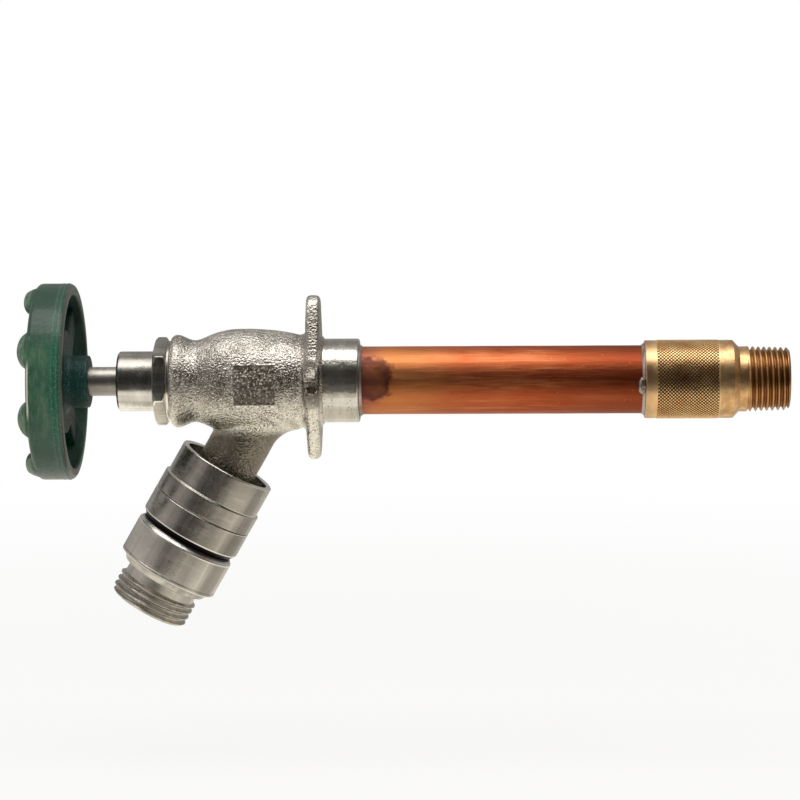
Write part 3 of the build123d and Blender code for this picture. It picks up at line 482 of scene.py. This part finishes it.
# A point on each axis, and the turn that lays z along it.
TUBE = ((0, 0, 0), (0.0, math.pi / 2, 0.0))
SPOUT = (tuple(SPOUT_FOOT), (0.0, math.pi + SPOUT_LEAN, 0.0))
finishes = {
    "cast_nickel": cast_nickel(),
    # The bonnet's paler lower side is painted light from the pale floor below.
    "bonnet_nickel": turned_nickel(
        "bonnet_nickel", *TUBE, (0.56, 0.53, 0.48), 0.20, 0.14, under=(1.0, 0.97, 0.90)
    ),
    "collar_nickel": turned_nickel(
        "collar_nickel", *TUBE, (0.84, 0.80, 0.72), 0.16, 0.55, under=(0.60, 0.565, 0.485)
    ),
    "stem_nickel": turned_nickel("stem_nickel", *TUBE, (0.64, 0.61, 0.55), 0.34, 0.10),
    "breaker_nickel": turned_nickel(
        "breaker_nickel", *SPOUT, (0.46, 0.427, 0.382), 0.20, 0.14,
        (BREAKER_CHAMFER + 0.2, BREAKER_END + 0.1),
        # Stations of painted highlights along the breaker's edges.
        (COUPLING_TOP + 0.1, COUPLING_STEP + 0.1, BREAKER_SEAM, BREAKER_CHAMFER),
    ),
    "outlet_nickel": turned_nickel(
        "outlet_nickel", *SPOUT, (0.62, 0.585, 0.53), 0.25, 0.14,
        # Painted highlights along the drain collar's edges.
        highlight_stations=(DRAIN_CHAMFER - 0.5, DRAIN_CHAMFER + 0.1, DRAIN_END - 0.1),
    ),
    "drawn_copper": drawn_copper(),
    "machined_brass": machined_brass(),
    "wheel_paint": wheel_paint(),
    "dull_solder": dull_solder(),
    "bright_steel": bare_steel("bright_steel", (0.66, 0.65, 0.63), 0.2),
    "spring_wire": bare_steel("spring_wire", (0.55, 0.55, 0.54), 0.24),
    "black_rubber": moulded("black_rubber", (0.006, 0.006, 0.006), (0.016, 0.016, 0.016), 0.5),
    "graphite_packing": moulded("graphite_packing", (0.03, 0.03, 0.032), (0.10, 0.10, 0.105), 0.55, 1600),
    "white_acetal": moulded("white_acetal", (0.74, 0.73, 0.69), (0.84, 0.83, 0.79), 0.35),
}


# Shaping


def linked(name, data):
    """New object in the scene that shows the given data."""
    made = bpy.data.objects.new(name, data)
    bpy.context.scene.collection.objects.link(made)
    return made


def new_piece(name, points, faces, smooth=True):
    mesh = bpy.data.meshes.new(name)
    mesh.from_pydata([tuple(p) for p in points], [], faces)
    mesh.update()
    for polygon in mesh.polygons:
        polygon.use_smooth = smooth
    return linked(name, mesh)


def dress(piece, finish, body, slot, *stands_for):
    """Gives a piece its finish, its body and the CAD nodes it stands for; slot is not used."""
    piece.data.materials.clear()
    piece.data.materials.append(finishes[finish])
    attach(piece, body)
    if stands_for:
        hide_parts(*stands_for)
    return piece


def on_tube(station, radius, angle):
    """Point at a station along the tube; angle 0 is +Y and a quarter turn is +Z."""
    return np.stack([station, radius * np.cos(angle), radius * np.sin(angle)], -1) * MM


def on_spout(station, radius, angle):
    """Point at a station down the spout, turned about its axis from +Y."""
    up = np.cross(SPOUT_AXIS, ACROSS)
    flat = radius[..., None] * (np.cos(angle)[..., None] * ACROSS + np.sin(angle)[..., None] * up)
    return SPOUT_FOOT + (station[..., None] * SPOUT_AXIS + flat) * MM


def rounded(corners, segments=5, step=1.2):
    """Ring profile from (station, radius, corner radius): arcs at the corners, even rows between."""
    rows = []
    count = len(corners)
    for k in range(count):
        before = np.array(corners[k - 1][:2], float)
        here = np.array(corners[k][:2], float)
        after = np.array(corners[(k + 1) % count][:2], float)
        size = corners[k][2] if len(corners[k]) > 2 else 0.0
        back, onward = before - here, after - here
        back_length, onward_length = np.linalg.norm(back), np.linalg.norm(onward)
        if size <= 0 or back_length < 1e-9 or onward_length < 1e-9:
            rows.append(here)
            continue
        back, onward = back / back_length, onward / onward_length
        half = math.acos(max(-1.0, min(1.0, float(back @ onward)))) / 2
        if half > math.pi / 2 - 0.02:
            rows.append(here)
            continue
        reach = min(size / math.tan(half), 0.49 * back_length, 0.49 * onward_length)
        size = reach * math.tan(half)
        middle = here + (back + onward) / np.linalg.norm(back + onward) * size / math.sin(half)
        first, last = here + back * reach, here + onward * reach
        for part in range(segments + 1):
            share = part / segments
            a, b = first - middle, last - middle
            angle = math.acos(max(-1.0, min(1.0, float(a @ b) / (size * size))))
            if angle < 1e-6:
                rows.append(first)
                continue
            point = (math.sin((1 - share) * angle) * a + math.sin(share * angle) * b) / math.sin(angle)
            rows.append(middle + point)
    dense = []
    for k, row in enumerate(rows):
        following = rows[(k + 1) % len(rows)]
        gap = np.linalg.norm(following - row)
        dense.append(row)
        if gap > 0.5:
            edge = min(0.12, gap / 6)
            inner = max(1, int(math.ceil((gap - 2 * edge) / step)))
            stops = [edge] + [edge + (gap - 2 * edge) * j / inner for j in range(1, inner)] + [gap - edge]
            dense += [row + (following - row) * s / gap for s in stops]
    return np.array(dense)


def lathe_skin(name, corners, place, columns=192, shape=None, segments=5, step=1.2):
    """Turned piece: a ring profile of (station, radius, corner radius) carried round an axis.
    shape may move each point."""
    rows = rounded(corners, segments, step)
    count = len(rows)
    angles = 2 * math.pi * np.arange(columns) / columns
    station = np.repeat(rows[:, 0][:, None], columns, 1)
    radius = np.repeat(rows[:, 1][:, None], columns, 1)
    angle = np.repeat(angles[None, :], count, 0)
    if shape is not None:
        station, radius = shape(station, radius, angle)
    points = place(station, radius, angle).reshape(-1, 3)
    faces = []
    for row in range(count):
        here, following = row * columns, (row + 1) % count * columns
        for column in range(columns):
            beside = (column + 1) % columns
            faces.append((here + column, here + beside, following + beside, following + column))
    piece = new_piece(name, points, faces)
    edit_mesh(piece, tidy_shell)
    return piece


def edit_mesh(piece, *steps):
    """Runs each step on the piece's opened mesh."""
    shell = bmesh.new()
    shell.from_mesh(piece.data)
    for step in steps:
        step(shell)
    shell.to_mesh(piece.data)
    shell.free()
    piece.data.update()


def weld(shell):
    bmesh.ops.remove_doubles(shell, verts=shell.verts, dist=WELD)


def tidy_shell(shell):
    """Merges doubled points and turns every face outwards."""
    weld(shell)
    bmesh.ops.dissolve_degenerate(shell, edges=shell.edges, dist=WELD / 4)
    bmesh.ops.recalc_face_normals(shell, faces=shell.faces)


def cut_off(shell, distance, normal):
    """Takes away what lies beyond a plane."""
    bmesh.ops.bisect_plane(
        shell,
        geom=shell.verts[:] + shell.edges[:] + shell.faces[:],
        plane_co=tuple(distance * part for part in normal),
        plane_no=normal,
        clear_outer=True,
    )


def close_up(shell):
    """Fills the open edges of a cut mesh."""
    bmesh.ops.holes_fill(shell, edges=[edge for edge in shell.edges if edge.is_boundary], sides=0)
    bmesh.ops.recalc_face_normals(shell, faces=shell.faces)


def thread_wave(phase, land, floor):
    """Depth of a thread from 0 at its crest to 1 at its root, with softened corners."""
    saw = np.abs(((phase + 0.5) % 1.0) - 0.5) * 2
    ramp = np.clip((saw - land) / (1 - land - floor), 0, 1)
    return ramp * ramp * (3 - 2 * ramp) * 0.6 + ramp * 0.4


def smooth_min(first, second, blend):
    share = np.clip(0.5 + 0.5 * (second - first) / blend, 0, 1)
    return second * (1 - share) + first * share - blend * share * (1 - share)


def copy_of_node(name, source):
    """Merged copy of a CAD node's mesh as a new piece."""
    mesh = nodes[source].data.copy()
    mesh.name = name
    mesh.materials.clear()
    piece = linked(name, mesh)
    edit_mesh(piece, weld)
    return piece


def applied(piece, modifier):
    """Keeps a modifier's result as the piece's own mesh."""
    piece.update_tag()
    graph = bpy.context.evaluated_depsgraph_get()
    mesh = bpy.data.meshes.new_from_object(piece.evaluated_get(graph))
    piece.modifiers.remove(modifier)
    old = piece.data
    piece.data = mesh
    bpy.data.meshes.remove(old)


def remeshed(piece, size):
    modifier = piece.modifiers.new("remesh", "REMESH")
    modifier.mode = "VOXEL"
    modifier.voxel_size = size
    applied(piece, modifier)


def point_rows(mesh, label="co"):
    """Places or normals of a mesh's points, one row each."""
    values = np.empty(len(mesh.vertices) * 3)
    mesh.vertices.foreach_get(label, values)
    return values.reshape(-1, 3)


def move_points(mesh, points):
    mesh.vertices.foreach_set("co", points.ravel())
    mesh.update()


def neighbour_average(points, pairs, degree):
    total = np.zeros_like(points)
    np.add.at(total, pairs[:, 0], points[pairs[:, 1]])
    np.add.at(total, pairs[:, 1], points[pairs[:, 0]])
    return total / degree[:, None]


def softened(piece, rounds, weight=None, keep_size=True):
    """Evens out a mesh; weight limits it to some points."""
    mesh = piece.data
    points = point_rows(mesh)
    count = len(points)
    pairs = np.empty(len(mesh.edges) * 2, np.int64)
    mesh.edges.foreach_get("vertices", pairs)
    pairs = pairs.reshape(-1, 2)
    degree = np.bincount(pairs.ravel(), minlength=count).astype(float)
    degree[degree == 0] = 1
    share = np.ones((count, 1)) if weight is None else weight(points)[:, None]
    for _ in range(rounds):
        points = points + 0.6 * share * (neighbour_average(points, pairs, degree) - points)
        if keep_size:
            points = points - 0.62 * share * (neighbour_average(points, pairs, degree) - points)
    move_points(mesh, points)


def shade_smooth(piece):
    for polygon in piece.data.polygons:
        polygon.use_smooth = True


# Cast body


def near_spout_root(points):
    """1 where the spout leaves the barrel and where the barrel meets the flange, fading to 0."""
    p = points / MM
    radius = np.hypot(p[:, 1], p[:, 2])
    along = (p - SPOUT_FOOT / MM) @ SPOUT_AXIS
    off = p - SPOUT_FOOT / MM - along[:, None] * SPOUT_AXIS
    spout_radius = np.linalg.norm(off, axis=1)
    spout = np.clip(1 - np.abs(along - 15.5) / 7.5, 0, 1) * (p[:, 2] < -4) * (spout_radius > 8.5)
    root = np.clip(1 - np.abs(p[:, 0] + 5.2) / 2.6, 0, 1) * (radius < 19) * (radius > 12.5)
    return np.clip(1.6 * np.maximum(spout, root), 0, 1)


def cast_body():
    piece = copy_of_node("cast_body_skin", "valve_body")
    cast_end, skin_radius = 1.25 * MM, 12.2 * MM
    skin_front, skin_back = -48.2 * MM, -0.6 * MM
    edit_mesh(piece, lambda shell: cut_off(shell, cast_end, (1, 0, 0)), close_up)
    remeshed(piece, 0.55 * MM)
    softened(piece, 3)
    softened(piece, 22, near_spout_root, keep_size=False)
    points = point_rows(piece.data)
    normals = point_rows(piece.data, "normal")
    radius = np.hypot(points[:, 1], points[:, 2])
    outside = (radius > skin_radius) & (points[:, 0] > skin_front) & (points[:, 0] < skin_back)
    places = [Vector(point) for point in points]
    lumps = np.array([noise.noise(p * 260.0) + 0.6 * noise.noise(p * 620.0) for p in places])
    ear = np.clip((-points[:, 1] / MM - 13.5) / 3, 0, 1) * (points[:, 0] > -6.0 * MM)
    lumps = lumps * (0.055 + 0.32 * ear) * MM
    points[outside] += normals[outside] * (lumps[outside] - 0.02 * MM)[:, None]
    move_points(piece.data, points)
    shade_smooth(piece)
    return dress(piece, "cast_nickel", "sillcock_body", "cast_nickel", "valve_body")


def tube_collar():
    profile = [
        (1.0, 11.19),
        (1.0, 13.7, 0.0),
        (COLLAR_END, 13.7, 0.75),
        (COLLAR_END, 11.19, 0.2),
    ]
    piece = lathe_skin("tube_collar", profile, on_tube, 192, segments=6)
    return dress(piece, "collar_nickel", "sillcock_body", "machined_nickel")


# Handwheel


def rim_shape(station, radius, angle):
    """Domes on the front face, longer round the rim than across it, and two fine mould lines."""
    turn = math.pi / 4
    off = ((angle + WHEEL_TURN) % turn) - turn / 2
    half_length, half_width, dome_height = 5.9, 4.5, 3.2
    distance = np.hypot(RIM_INNER * off / half_length, (radius - RIM_INNER) / half_width)
    height = dome_height * np.clip(1 - distance**2, 0, 1) ** 0.62
    height = np.maximum(height, 0.5 * np.clip(1.18 - distance, 0, 1) ** 1.5)
    front = np.clip((WHEEL_FRONT + 2.2 - station) / 2.0, 0, 1)
    ridge = sum(0.11 * np.exp(-(((station - line) / 0.22) ** 2)) for line in MOULD_LINES)
    return station - height * front, np.minimum(radius + (ridge - 0.13) * (radius > 31), RIM_OUTER - 0.02)


def wheel_rim():
    profile = [
        (WHEEL_BACK, RIM_INNER, 0.8),
        (WHEEL_FRONT + 3.0, RIM_INNER, 0.6),
        (WHEEL_FRONT + 2.4, RIM_LIP, 0.5),
        (WHEEL_FRONT, RIM_LIP, 1.1),
        (WHEEL_FRONT, RIM_OUTER, 1.7),
        (WHEEL_BACK, RIM_OUTER, 1.6),
    ]
    piece = lathe_skin("wheel_rim", profile, on_tube, 384, rim_shape, segments=7, step=0.55)
    return dress(piece, "wheel_paint", "stem_and_wheel", "green_paint", "handwheel")


def wheel_centre():
    """Hub, round web and spokes, softened like a painted die casting."""
    piece = copy_of_node("wheel_centre", "handwheel")
    cut_radius, web_radius = 29.2 * MM, 24.6 * MM
    web_front, web_back = -87.4 * MM, -83.4 * MM

    def inside_rim(shell):
        """Cuts the rim away along sixteen planes."""
        for side in range(16):
            angle = math.pi * (side + 0.5) / 8
            cut_off(shell, cut_radius, (0.0, math.cos(angle), math.sin(angle)))

    def web_only(shell):
        """Leaves only the web where it reaches the rim."""
        outer = [
            v for v in shell.verts
            if math.hypot(v.co.y, v.co.z) > web_radius and not web_front < v.co.x < web_back
        ]
        bmesh.ops.delete(shell, geom=outer, context="VERTS")

    edit_mesh(piece, inside_rim)
    edit_mesh(piece, web_only, close_up)
    remeshed(piece, 0.4 * MM)
    softened(piece, 6, keep_size=False)
    shade_smooth(piece)
    return dress(piece, "wheel_paint", "stem_and_wheel", "green_paint")


# Bonnet and stem

HEX_FRONT, HEX_BACK = -54.2, -49.9
HEX_FLATS, HEX_CORNER, HEX_EDGE = 25.4, 14.55, 13.9
HEX_TURN = math.radians(21.5)


def hex_shape(station, radius, angle):
    """Flats of the hexagon, cut back by a cone at both ends."""
    sixth = math.pi / 3
    off = (angle - HEX_TURN) % sixth - sixth / 2
    flat = HEX_FLATS / 2 / np.cos(off)
    near_end = np.minimum(station - HEX_FRONT, HEX_BACK - station)
    cone = 13.3 + np.clip(near_end, 0, None) * 1.75
    target = smooth_min(flat, cone, 0.35)
    target = smooth_min(target, np.full_like(target, HEX_CORNER), 0.25)
    rim = (radius > 12.2) & (station >= HEX_FRONT - 0.01) & (station <= HEX_BACK + 0.01)
    return station, np.where(rim, target - (HEX_EDGE - radius) * 0.9, radius)


def bonnet():
    nose, tail, nose_radius = -66.4, -38.0, 9.8
    profile = [
        (nose, 7.6, 0.5),
        (nose, nose_radius, 1.0),
        (HEX_FRONT, nose_radius, 0.35),
        (HEX_FRONT, HEX_EDGE, 0.3),
        (HEX_BACK, HEX_EDGE, 0.3),
        (HEX_BACK, 9.6, 0.2),
        (tail, 9.6, 0.4),
        (tail, 6.48, 0.2),
        (-55.2, 6.48),
        (-55.2, 4.84),
        (-56.3, 4.84),
        (-56.3, 7.6),
    ]
    piece = lathe_skin("bonnet_nut", profile, on_tube, 288, hex_shape, step=0.5)
    return dress(piece, "bonnet_nickel", "sillcock_body", "machined_nickel", "bonnet")


def bonnet_gasket():
    profile = [(-49.88, 9.66), (-49.88, 13.2, 0.3), (-48.82, 13.2, 0.3), (-48.82, 9.66)]
    piece = lathe_skin("bonnet_washer", profile, on_tube, 144)
    return dress(piece, "bonnet_nickel", "sillcock_body", "machined_nickel", "bonnet_gasket")


# Tube and joints


def copper_tube():
    profile = [(2.0, 9.97), (2.0, 11.11), (112.0, 11.11), (112.0, 9.97)]

    def drawn(station, radius, angle):
        sway = 0.012 * np.sin(station * 0.21 + 1.3) * np.cos(angle - 0.6) + 0.008 * np.sin(station * 0.5)
        return station, radius - 0.014 + sway * (radius > 10.5)

    piece = lathe_skin("copper_pipe", profile, on_tube, 160, drawn, step=2.0)
    return dress(piece, "drawn_copper", "sillcock_body", "copper", "copper_tube")


def bead(name, joint, direction, node, seed):
    """Solder fillet that wanders a little round the joint."""

    def wander(station, radius, angle):
        wave = 0.22 * np.sin(3 * angle + seed) + 0.14 * np.sin(7 * angle + 2 * seed)
        grown = np.clip((radius - 11.0) / 1.1, 0, 1)
        away = np.abs(station - joint) / 1.2
        return station + direction * 0.2 * wave * away, radius + 0.35 * wave * grown * (radius > 11.2)

    profile = [
        (joint, 11.0),
        (joint, 12.0, 0.15),
        (joint + direction * 0.45, 11.62, 0.3),
        (joint + direction * 1.2, 11.05, 0.1),
    ]
    piece = lathe_skin(name, profile, on_tube, 144, wander, segments=4, step=0.3)
    return dress(piece, "dull_solder", "sillcock_body", "solder", node)


def solder_drop():
    """Drop of solder that ran out of the joint and set on the tube and the fitting's edge."""
    across, along = 1.35, 2.75
    place = Vector((104.35, -11.75, -1.0)) * MM
    shell = bmesh.new()
    bmesh.ops.create_icosphere(shell, subdivisions=4, radius=1.0)
    for v in shell.verts:
        p = v.co.copy()
        lump = 1 + 0.10 * noise.noise(p * 2.1 + Vector((4, 1, 7))) + 0.05 * noise.noise(p * 5.0)
        v.co = Vector((p.x * across, p.y * across, p.z * along)) * lump * MM
        if p.z > 0.2:
            v.co.x *= 1 - 0.18 * (p.z - 0.2)
        v.co += place
    mesh = bpy.data.meshes.new("solder_drop")
    shell.to_mesh(mesh)
    shell.free()
    piece = linked("solder_drop", mesh)
    shade_smooth(piece)
    return dress(piece, "dull_solder", "sillcock_body", "solder")


# Inlet fitting


def pipe_thread_shape(station, radius, angle):
    """Tapered pipe thread cut into the end of the fitting."""
    first_crest, deep, lead_in, run_out = 10.66, 1.25, 0.8, 0.9
    along = station - PIPE_THREAD_START
    phase = along / PIPE_PITCH - angle / (2 * math.pi)
    depth = deep * thread_wave(phase, 0.05, 0.05) * np.clip(along / run_out, 0, 1)
    crest = first_crest - along / 32
    lead = np.clip(INLET_END - station, 0, lead_in)
    wall = (radius > 9.5) & (station > PIPE_THREAD_START)
    return station, np.where(wall, np.minimum(crest - depth, crest - lead_in + lead), radius)


def inlet_fitting():
    thread = [(PIPE_THREAD_START + 0.15 * k, 10.6 - 0.0043 * k) for k in range(92)]
    profile = [
        (FITTING_START, 11.17, 0.15),
        (FITTING_START, FITTING_RADIUS, 0.4),
        (KNURL_START - 0.1, FITTING_RADIUS),
        (KNURL_START + 0.05, KNURL_ROOT),
        (KNURL_END - 0.05, KNURL_ROOT),
        (KNURL_END + 0.1, FITTING_RADIUS),
        (FITTING_SHOULDER, FITTING_RADIUS, 0.25),
        (136.0, 10.6, 0.4),
        *thread,
        (INLET_END - 0.02, 10.2),
        (INLET_END, 9.4, 0.15),
        (INLET_END, 7.99, 0.25),
        (139.7, 7.99),
        (139.7, 5.6),
        (133.0, 5.6),
        (133.0, 9.4),
        (112.0, 9.4),
        (112.0, 11.17),
    ]
    piece = lathe_skin(
        "inlet_fitting_turned", profile, on_tube, 192, pipe_thread_shape, segments=4, step=0.6
    )
    return dress(piece, "machined_brass", "sillcock_body", "machined_brass", "inlet_fitting")


def knurl_tree():
    """One raised diamond, set on every crossing of two families of helical lines."""
    group = bpy.data.node_groups.new("knurl", "GeometryNodeTree")
    sockets = [
        ("Diamond", "Geometry", None),
        ("Start", "Float", KNURL_START * MM),
        ("Length", "Float", (KNURL_END - KNURL_START) * MM),
        ("Radius", "Float", (KNURL_ROOT - 0.01) * MM),
        ("Around", "Int", 68),
        ("Rows", "Int", 34),
        ("Finish", "Material", None),
    ]
    for label, kind, value in sockets:
        made = group.interface.new_socket(label, in_out="INPUT", socket_type=f"NodeSocket{kind}")
        if value is not None:
            made.default_value = value
    group.interface.new_socket("Knurl", in_out="OUTPUT", socket_type="NodeSocketGeometry")
    g = Tree(group)
    given = group.nodes.new("NodeGroupInput").outputs
    diamond, start, length, radius, around, rows, finish = (Socket(g, given[row[0]]) for row in sockets)
    line = g.node("GeometryNodePoints", {}, {"Count": around * rows})
    index = g.node("GeometryNodeInputIndex", {}, {})
    row = g.calc("FLOOR", index / around)
    column = index - row * around
    turn = (column + g.calc("MODULO", row, 2.0) * 0.5) / around * (2 * math.pi)
    station = start + (row + 0.5) * (length / rows)
    across, up = g.calc("COSINE", turn) * radius, g.calc("SINE", turn) * radius
    spot = g.node("ShaderNodeCombineXYZ", {}, {0: station, 1: across, 2: up})
    placed = g.node("GeometryNodeSetPosition", {}, {"Geometry": line, "Position": spot})
    facing = g.node("ShaderNodeCombineXYZ", {}, {0: turn})
    set_out = {"Points": placed, "Instance": diamond, "Rotation": facing}
    copies = g.node("GeometryNodeInstanceOnPoints", {}, set_out)
    solid = g.node("GeometryNodeRealizeInstances", {}, {"Geometry": copies})
    done = g.node("GeometryNodeSetMaterial", {}, {"Geometry": solid, "Material": finish})
    group.links.new(done.output, group.nodes.new("NodeGroupOutput").inputs["Knurl"])
    return group


def diamond_knurl():
    """Band of small raised diamonds round the grip of the fitting."""
    half, height, flat = 0.565, 0.40, 0.35
    base = [(-half, 0), (0, -half), (half, 0), (0, half)]
    points = []
    for level, share in ((-0.05, 1.0), (height - 0.09, 0.72), (height, flat / half)):
        points += [(x * share * MM, level * MM, y * share * MM) for x, y in base]
    faces = [(3, 2, 1, 0), (8, 9, 10, 11)]
    for ring in (0, 4):
        for k in range(4):
            beside = (k + 1) % 4
            faces.append((ring + k, ring + beside, ring + 4 + beside, ring + 4 + k))
    piece = new_piece("diamond_knurl", points, faces, smooth=False)
    edit_mesh(piece, tidy_shell)
    modifier = piece.modifiers.new("knurl", "NODES")
    modifier.node_group = knurl_tree()
    for item in modifier.node_group.interface.items_tree:
        if item.in_out == "INPUT" and item.name != "Diamond":
            brass = item.name == "Finish"
            modifier[item.identifier] = finishes["machined_brass"] if brass else item.default_value
    applied(piece, modifier)
    return dress(piece, "machined_brass", "sillcock_body", "machined_brass")


# Vacuum breaker


def hose_thread_shape(station, radius, angle):
    """Hose thread on the end of the nipple."""
    crest, root, lead_in, run_out = 13.47, 12.25, 0.9, 0.5
    along = station - HOSE_THREAD_START
    depth = (crest - root) * thread_wave(along / HOSE_PITCH - angle / (2 * math.pi), 0.14, 0.16)
    lead = np.clip(OUTLET_END - station, 0, lead_in)
    cut = np.minimum(crest - depth, crest - lead_in + lead)
    wall = (radius > root - 0.3) & (station > HOSE_THREAD_START)
    return station, np.where(wall, root + (cut - root) * np.clip(along / run_out, 0, 1), radius)


def breaker_coupling():
    profile = [
        (COUPLING_TOP, 14.4, 0.35),
        (COUPLING_TOP, 16.3, 0.45),
        (COUPLING_STEP, 16.3, 0.1),
        (COUPLING_STEP + 0.35, 17.1, 0.25),
        (BREAKER_SEAM - 0.25, 17.1, 0.3),
        (BREAKER_SEAM - 0.12, 15.0, 0.0),
        (45.8, 14.97),
        (45.8, 13.59),
        (35.5, 13.59),
        (35.5, 14.4, 0.2),
    ]
    piece = lathe_skin("breaker_coupling_ring", profile, on_spout, 224)
    return dress(piece, "breaker_nickel", "sillcock_body", "machined_nickel", "breaker_coupling")


def breaker_body():
    profile = [
        (45.9, 12.5),
        (45.9, 14.88, 0.1),
        (BREAKER_SEAM - 0.02, 14.88, 0.0),
        (BREAKER_SEAM - 0.02, 17.12, 0.3),
        (BREAKER_CHAMFER, 17.12, 0.45),
        (BREAKER_END - 0.05, 15.5, 0.3),
        (BREAKER_END, 9.3, 0.2),
        (72.6, 9.3),
        (72.6, 8.8),
        (73.6, 8.8),
        (73.6, 9.3),
        (74.6, 9.3, 0.25),
        (74.6, 5.5, 0.25),
        (61.0, 5.5),
        (61.0, 6.5),
        (54.35, 6.5),
        (54.35, 8.3),
        (50.2, 8.3),
        (50.2, 12.5),
    ]
    piece = lathe_skin("breaker_lower_ring", profile, on_spout, 224)
    return dress(piece, "breaker_nickel", "sillcock_body", "machined_nickel", "breaker_body")


def drain_collar():
    profile = [
        (DRAIN_TOP, 9.38),
        (DRAIN_TOP, 12.85, 0.1),
        (DRAIN_CHAMFER, 12.88),
        (DRAIN_CHAMFER, 15.52),
        (DRAIN_TOP, 15.55, 0.1),
        (DRAIN_TOP, 16.0, 0.12),
        (DRAIN_CHAMFER, 17.0, 0.5),
        (71.3, 17.0, 0.05),
        (71.42, 16.86, 0.0),
        (71.62, 16.86, 0.0),
        (71.74, 17.0, 0.05),
        (DRAIN_END, 17.0, 0.35),
        (DRAIN_END, 13.05),
        (67.6, 13.05),
        (67.6, 11.4),
        (64.5, 11.4),
        (64.5, 9.38),
    ]
    piece = lathe_skin("drain_slide_collar", profile, on_spout, 224)
    return dress(piece, "outlet_nickel", "drain_outlet", "machined_nickel", "drain_collar")


def hose_nipple():
    profile = [
        (67.7, 11.4),
        (67.7, 13.0, 0.1),
        (72.72, 13.0),
        (72.72, 15.7, 0.3),
        (75.0, 14.4, 0.35),
        (75.0, 12.25, 0.3),
        (HOSE_THREAD_START, 12.25),
        (OUTLET_END - 0.02, 12.3, 0.0),
        (OUTLET_END, 11.9, 0.15),
        (OUTLET_END, 8.4, 0.3),
        (75.2, 8.4),
        (75.2, 11.4),
    ]
    piece = lathe_skin(
        "hose_outlet_nipple", profile, on_spout, 224, hose_thread_shape, segments=4, step=0.16
    )
    return dress(piece, "outlet_nickel", "drain_outlet", "machined_nickel", "hose_nipple")


def wound_spring(name, node):
    """Compression spring on the spout's axis, with a mesh of its own."""
    piece = copy_of_node(name, node)
    shade_smooth(piece)
    dress(piece, "spring_wire", "sillcock_body", "spring_steel", node)
    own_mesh(piece)


cast_body()
tube_collar()
wheel_rim()
wheel_centre()
bonnet()
bonnet_gasket()
copper_tube()
bead("collar_bead", COLLAR_END, 1, "collar_solder", 0.7)
bead("fitting_bead", FITTING_START, -1, "fitting_solder", 2.4)
solder_drop()
inlet_fitting()
diamond_knurl()
breaker_coupling()
breaker_body()
drain_collar()
hose_nipple()
wound_spring("poppet_spring_coil", "poppet_spring")
wound_spring("drain_spring_coil", "drain_spring")

carried_over = {
    "machined_brass": ["valve_seat", "packing_washer", "packing_gland", "operating_rod", "washer_holder"],
    "graphite_packing": ["packing_rings"],
    "stem_nickel": ["stem_spindle"],
    "bright_steel": ["seat_washer_screw", "handle_screw", "breakaway_screw", "retaining_ring"],
    "black_rubber": ["seat_washer", "breaker_washer", "vent_diaphragm", "poppet_seal", "vent_seal_ring"],
    "white_acetal": ["check_seat", "check_poppet", "spring_guide"],
}
for finish, names in carried_over.items():
    for name in names:
        for holder in nodes[name].material_slots:
            holder.material = finishes[finish]


# Floor, light and camera

FLOOR_LEVEL, FLOOR_HALF = -0.125, 3.0
floor_corners = [
    (x * FLOOR_HALF, y * FLOOR_HALF, FLOOR_LEVEL) for x, y in ((-1, -1), (1, -1), (1, 1), (-1, 1))
]
floor = new_piece("studio_floor", floor_corners, [(0, 1, 2, 3)], smooth=False)
floor.data.materials.append(floor_card())


def soft_lamp(name, place, aim, width, height, power, colour=(1, 1, 1)):
    light = bpy.data.lights.new(name, "AREA")
    light.shape = "RECTANGLE"
    light.size, light.size_y = width, height
    light.energy = power
    light.color = colour
    lamp = linked(name, light)
    lamp.location = place
    lamp.rotation_mode = "QUATERNION"
    lamp.rotation_quaternion = (Vector(aim) - Vector(place)).to_track_quat("-Z", "Y")
    return lamp


soft_lamp("overhead_softbox", (0.03, -0.10, 0.55), (0.03, 0.0, 0.0), 0.9, 0.34, 2.5, (1.0, 0.985, 0.96))
front_fill = soft_lamp("front_fill", (-0.10, -0.85, 0.10), (0.0, 0.0, 0.0), 0.7, 0.5, 4.6)
front_fill.visible_glossy = False


def studio_world():
    """Bright overhead and to the left, dark in front, grey behind; white where the camera looks past it."""
    world = bpy.data.worlds.new("studio_world")
    bpy.context.scene.world = world
    world.use_nodes = True
    world.node_tree.nodes.clear()
    w = Tree(world.node_tree)
    x, y, z = w.axes(w.node("ShaderNodeTexCoord", {}, {}, "Generated"))
    walls = w.mix(w.spread(y, -0.55, 0.60), (0.055, 0.053, 0.050), (0.36, 0.35, 0.34))
    walls = w.mix(w.spread(x, -0.25, -0.85), walls, (0.62, 0.60, 0.58))
    sky = w.mix(w.spread(z, 0.70, 0.92), walls, (0.50, 0.49, 0.48))
    light = w.node("ShaderNodeBackground", {}, {0: sky})
    white = w.node("ShaderNodeBackground", {}, {0: (1, 1, 1, 1)})
    seen = w.node("ShaderNodeLightPath", {}, {}, "Is Camera Ray")
    done = w.node("ShaderNodeMixShader", {}, {0: seen, 1: light, 2: white})
    w.tree.links.new(done.output, w.tree.nodes.new("ShaderNodeOutputWorld").inputs[0])


studio_world()


def photo_camera():
    lens = bpy.data.cameras.new("photo_camera")
    lens.sensor_width = 36.0
    lens.lens = 131.4
    lens.clip_start, lens.clip_end = 0.01, 20
    camera = linked("photo_camera", lens)
    target = Vector((25.8, 0.0, -6.5)) * MM
    place = Vector((58.4, -950.0, 90.5)) * MM
    aim = (target - place).to_track_quat("-Z", "Y")
    roll = Matrix.Rotation(math.radians(-0.42), 3, "Z").to_quaternion()
    camera.location = place
    camera.rotation_mode = "QUATERNION"
    camera.rotation_quaternion = aim @ roll
    bpy.context.scene.camera = camera


photo_camera()
bpy.context.scene.view_settings.view_transform = "Standard"
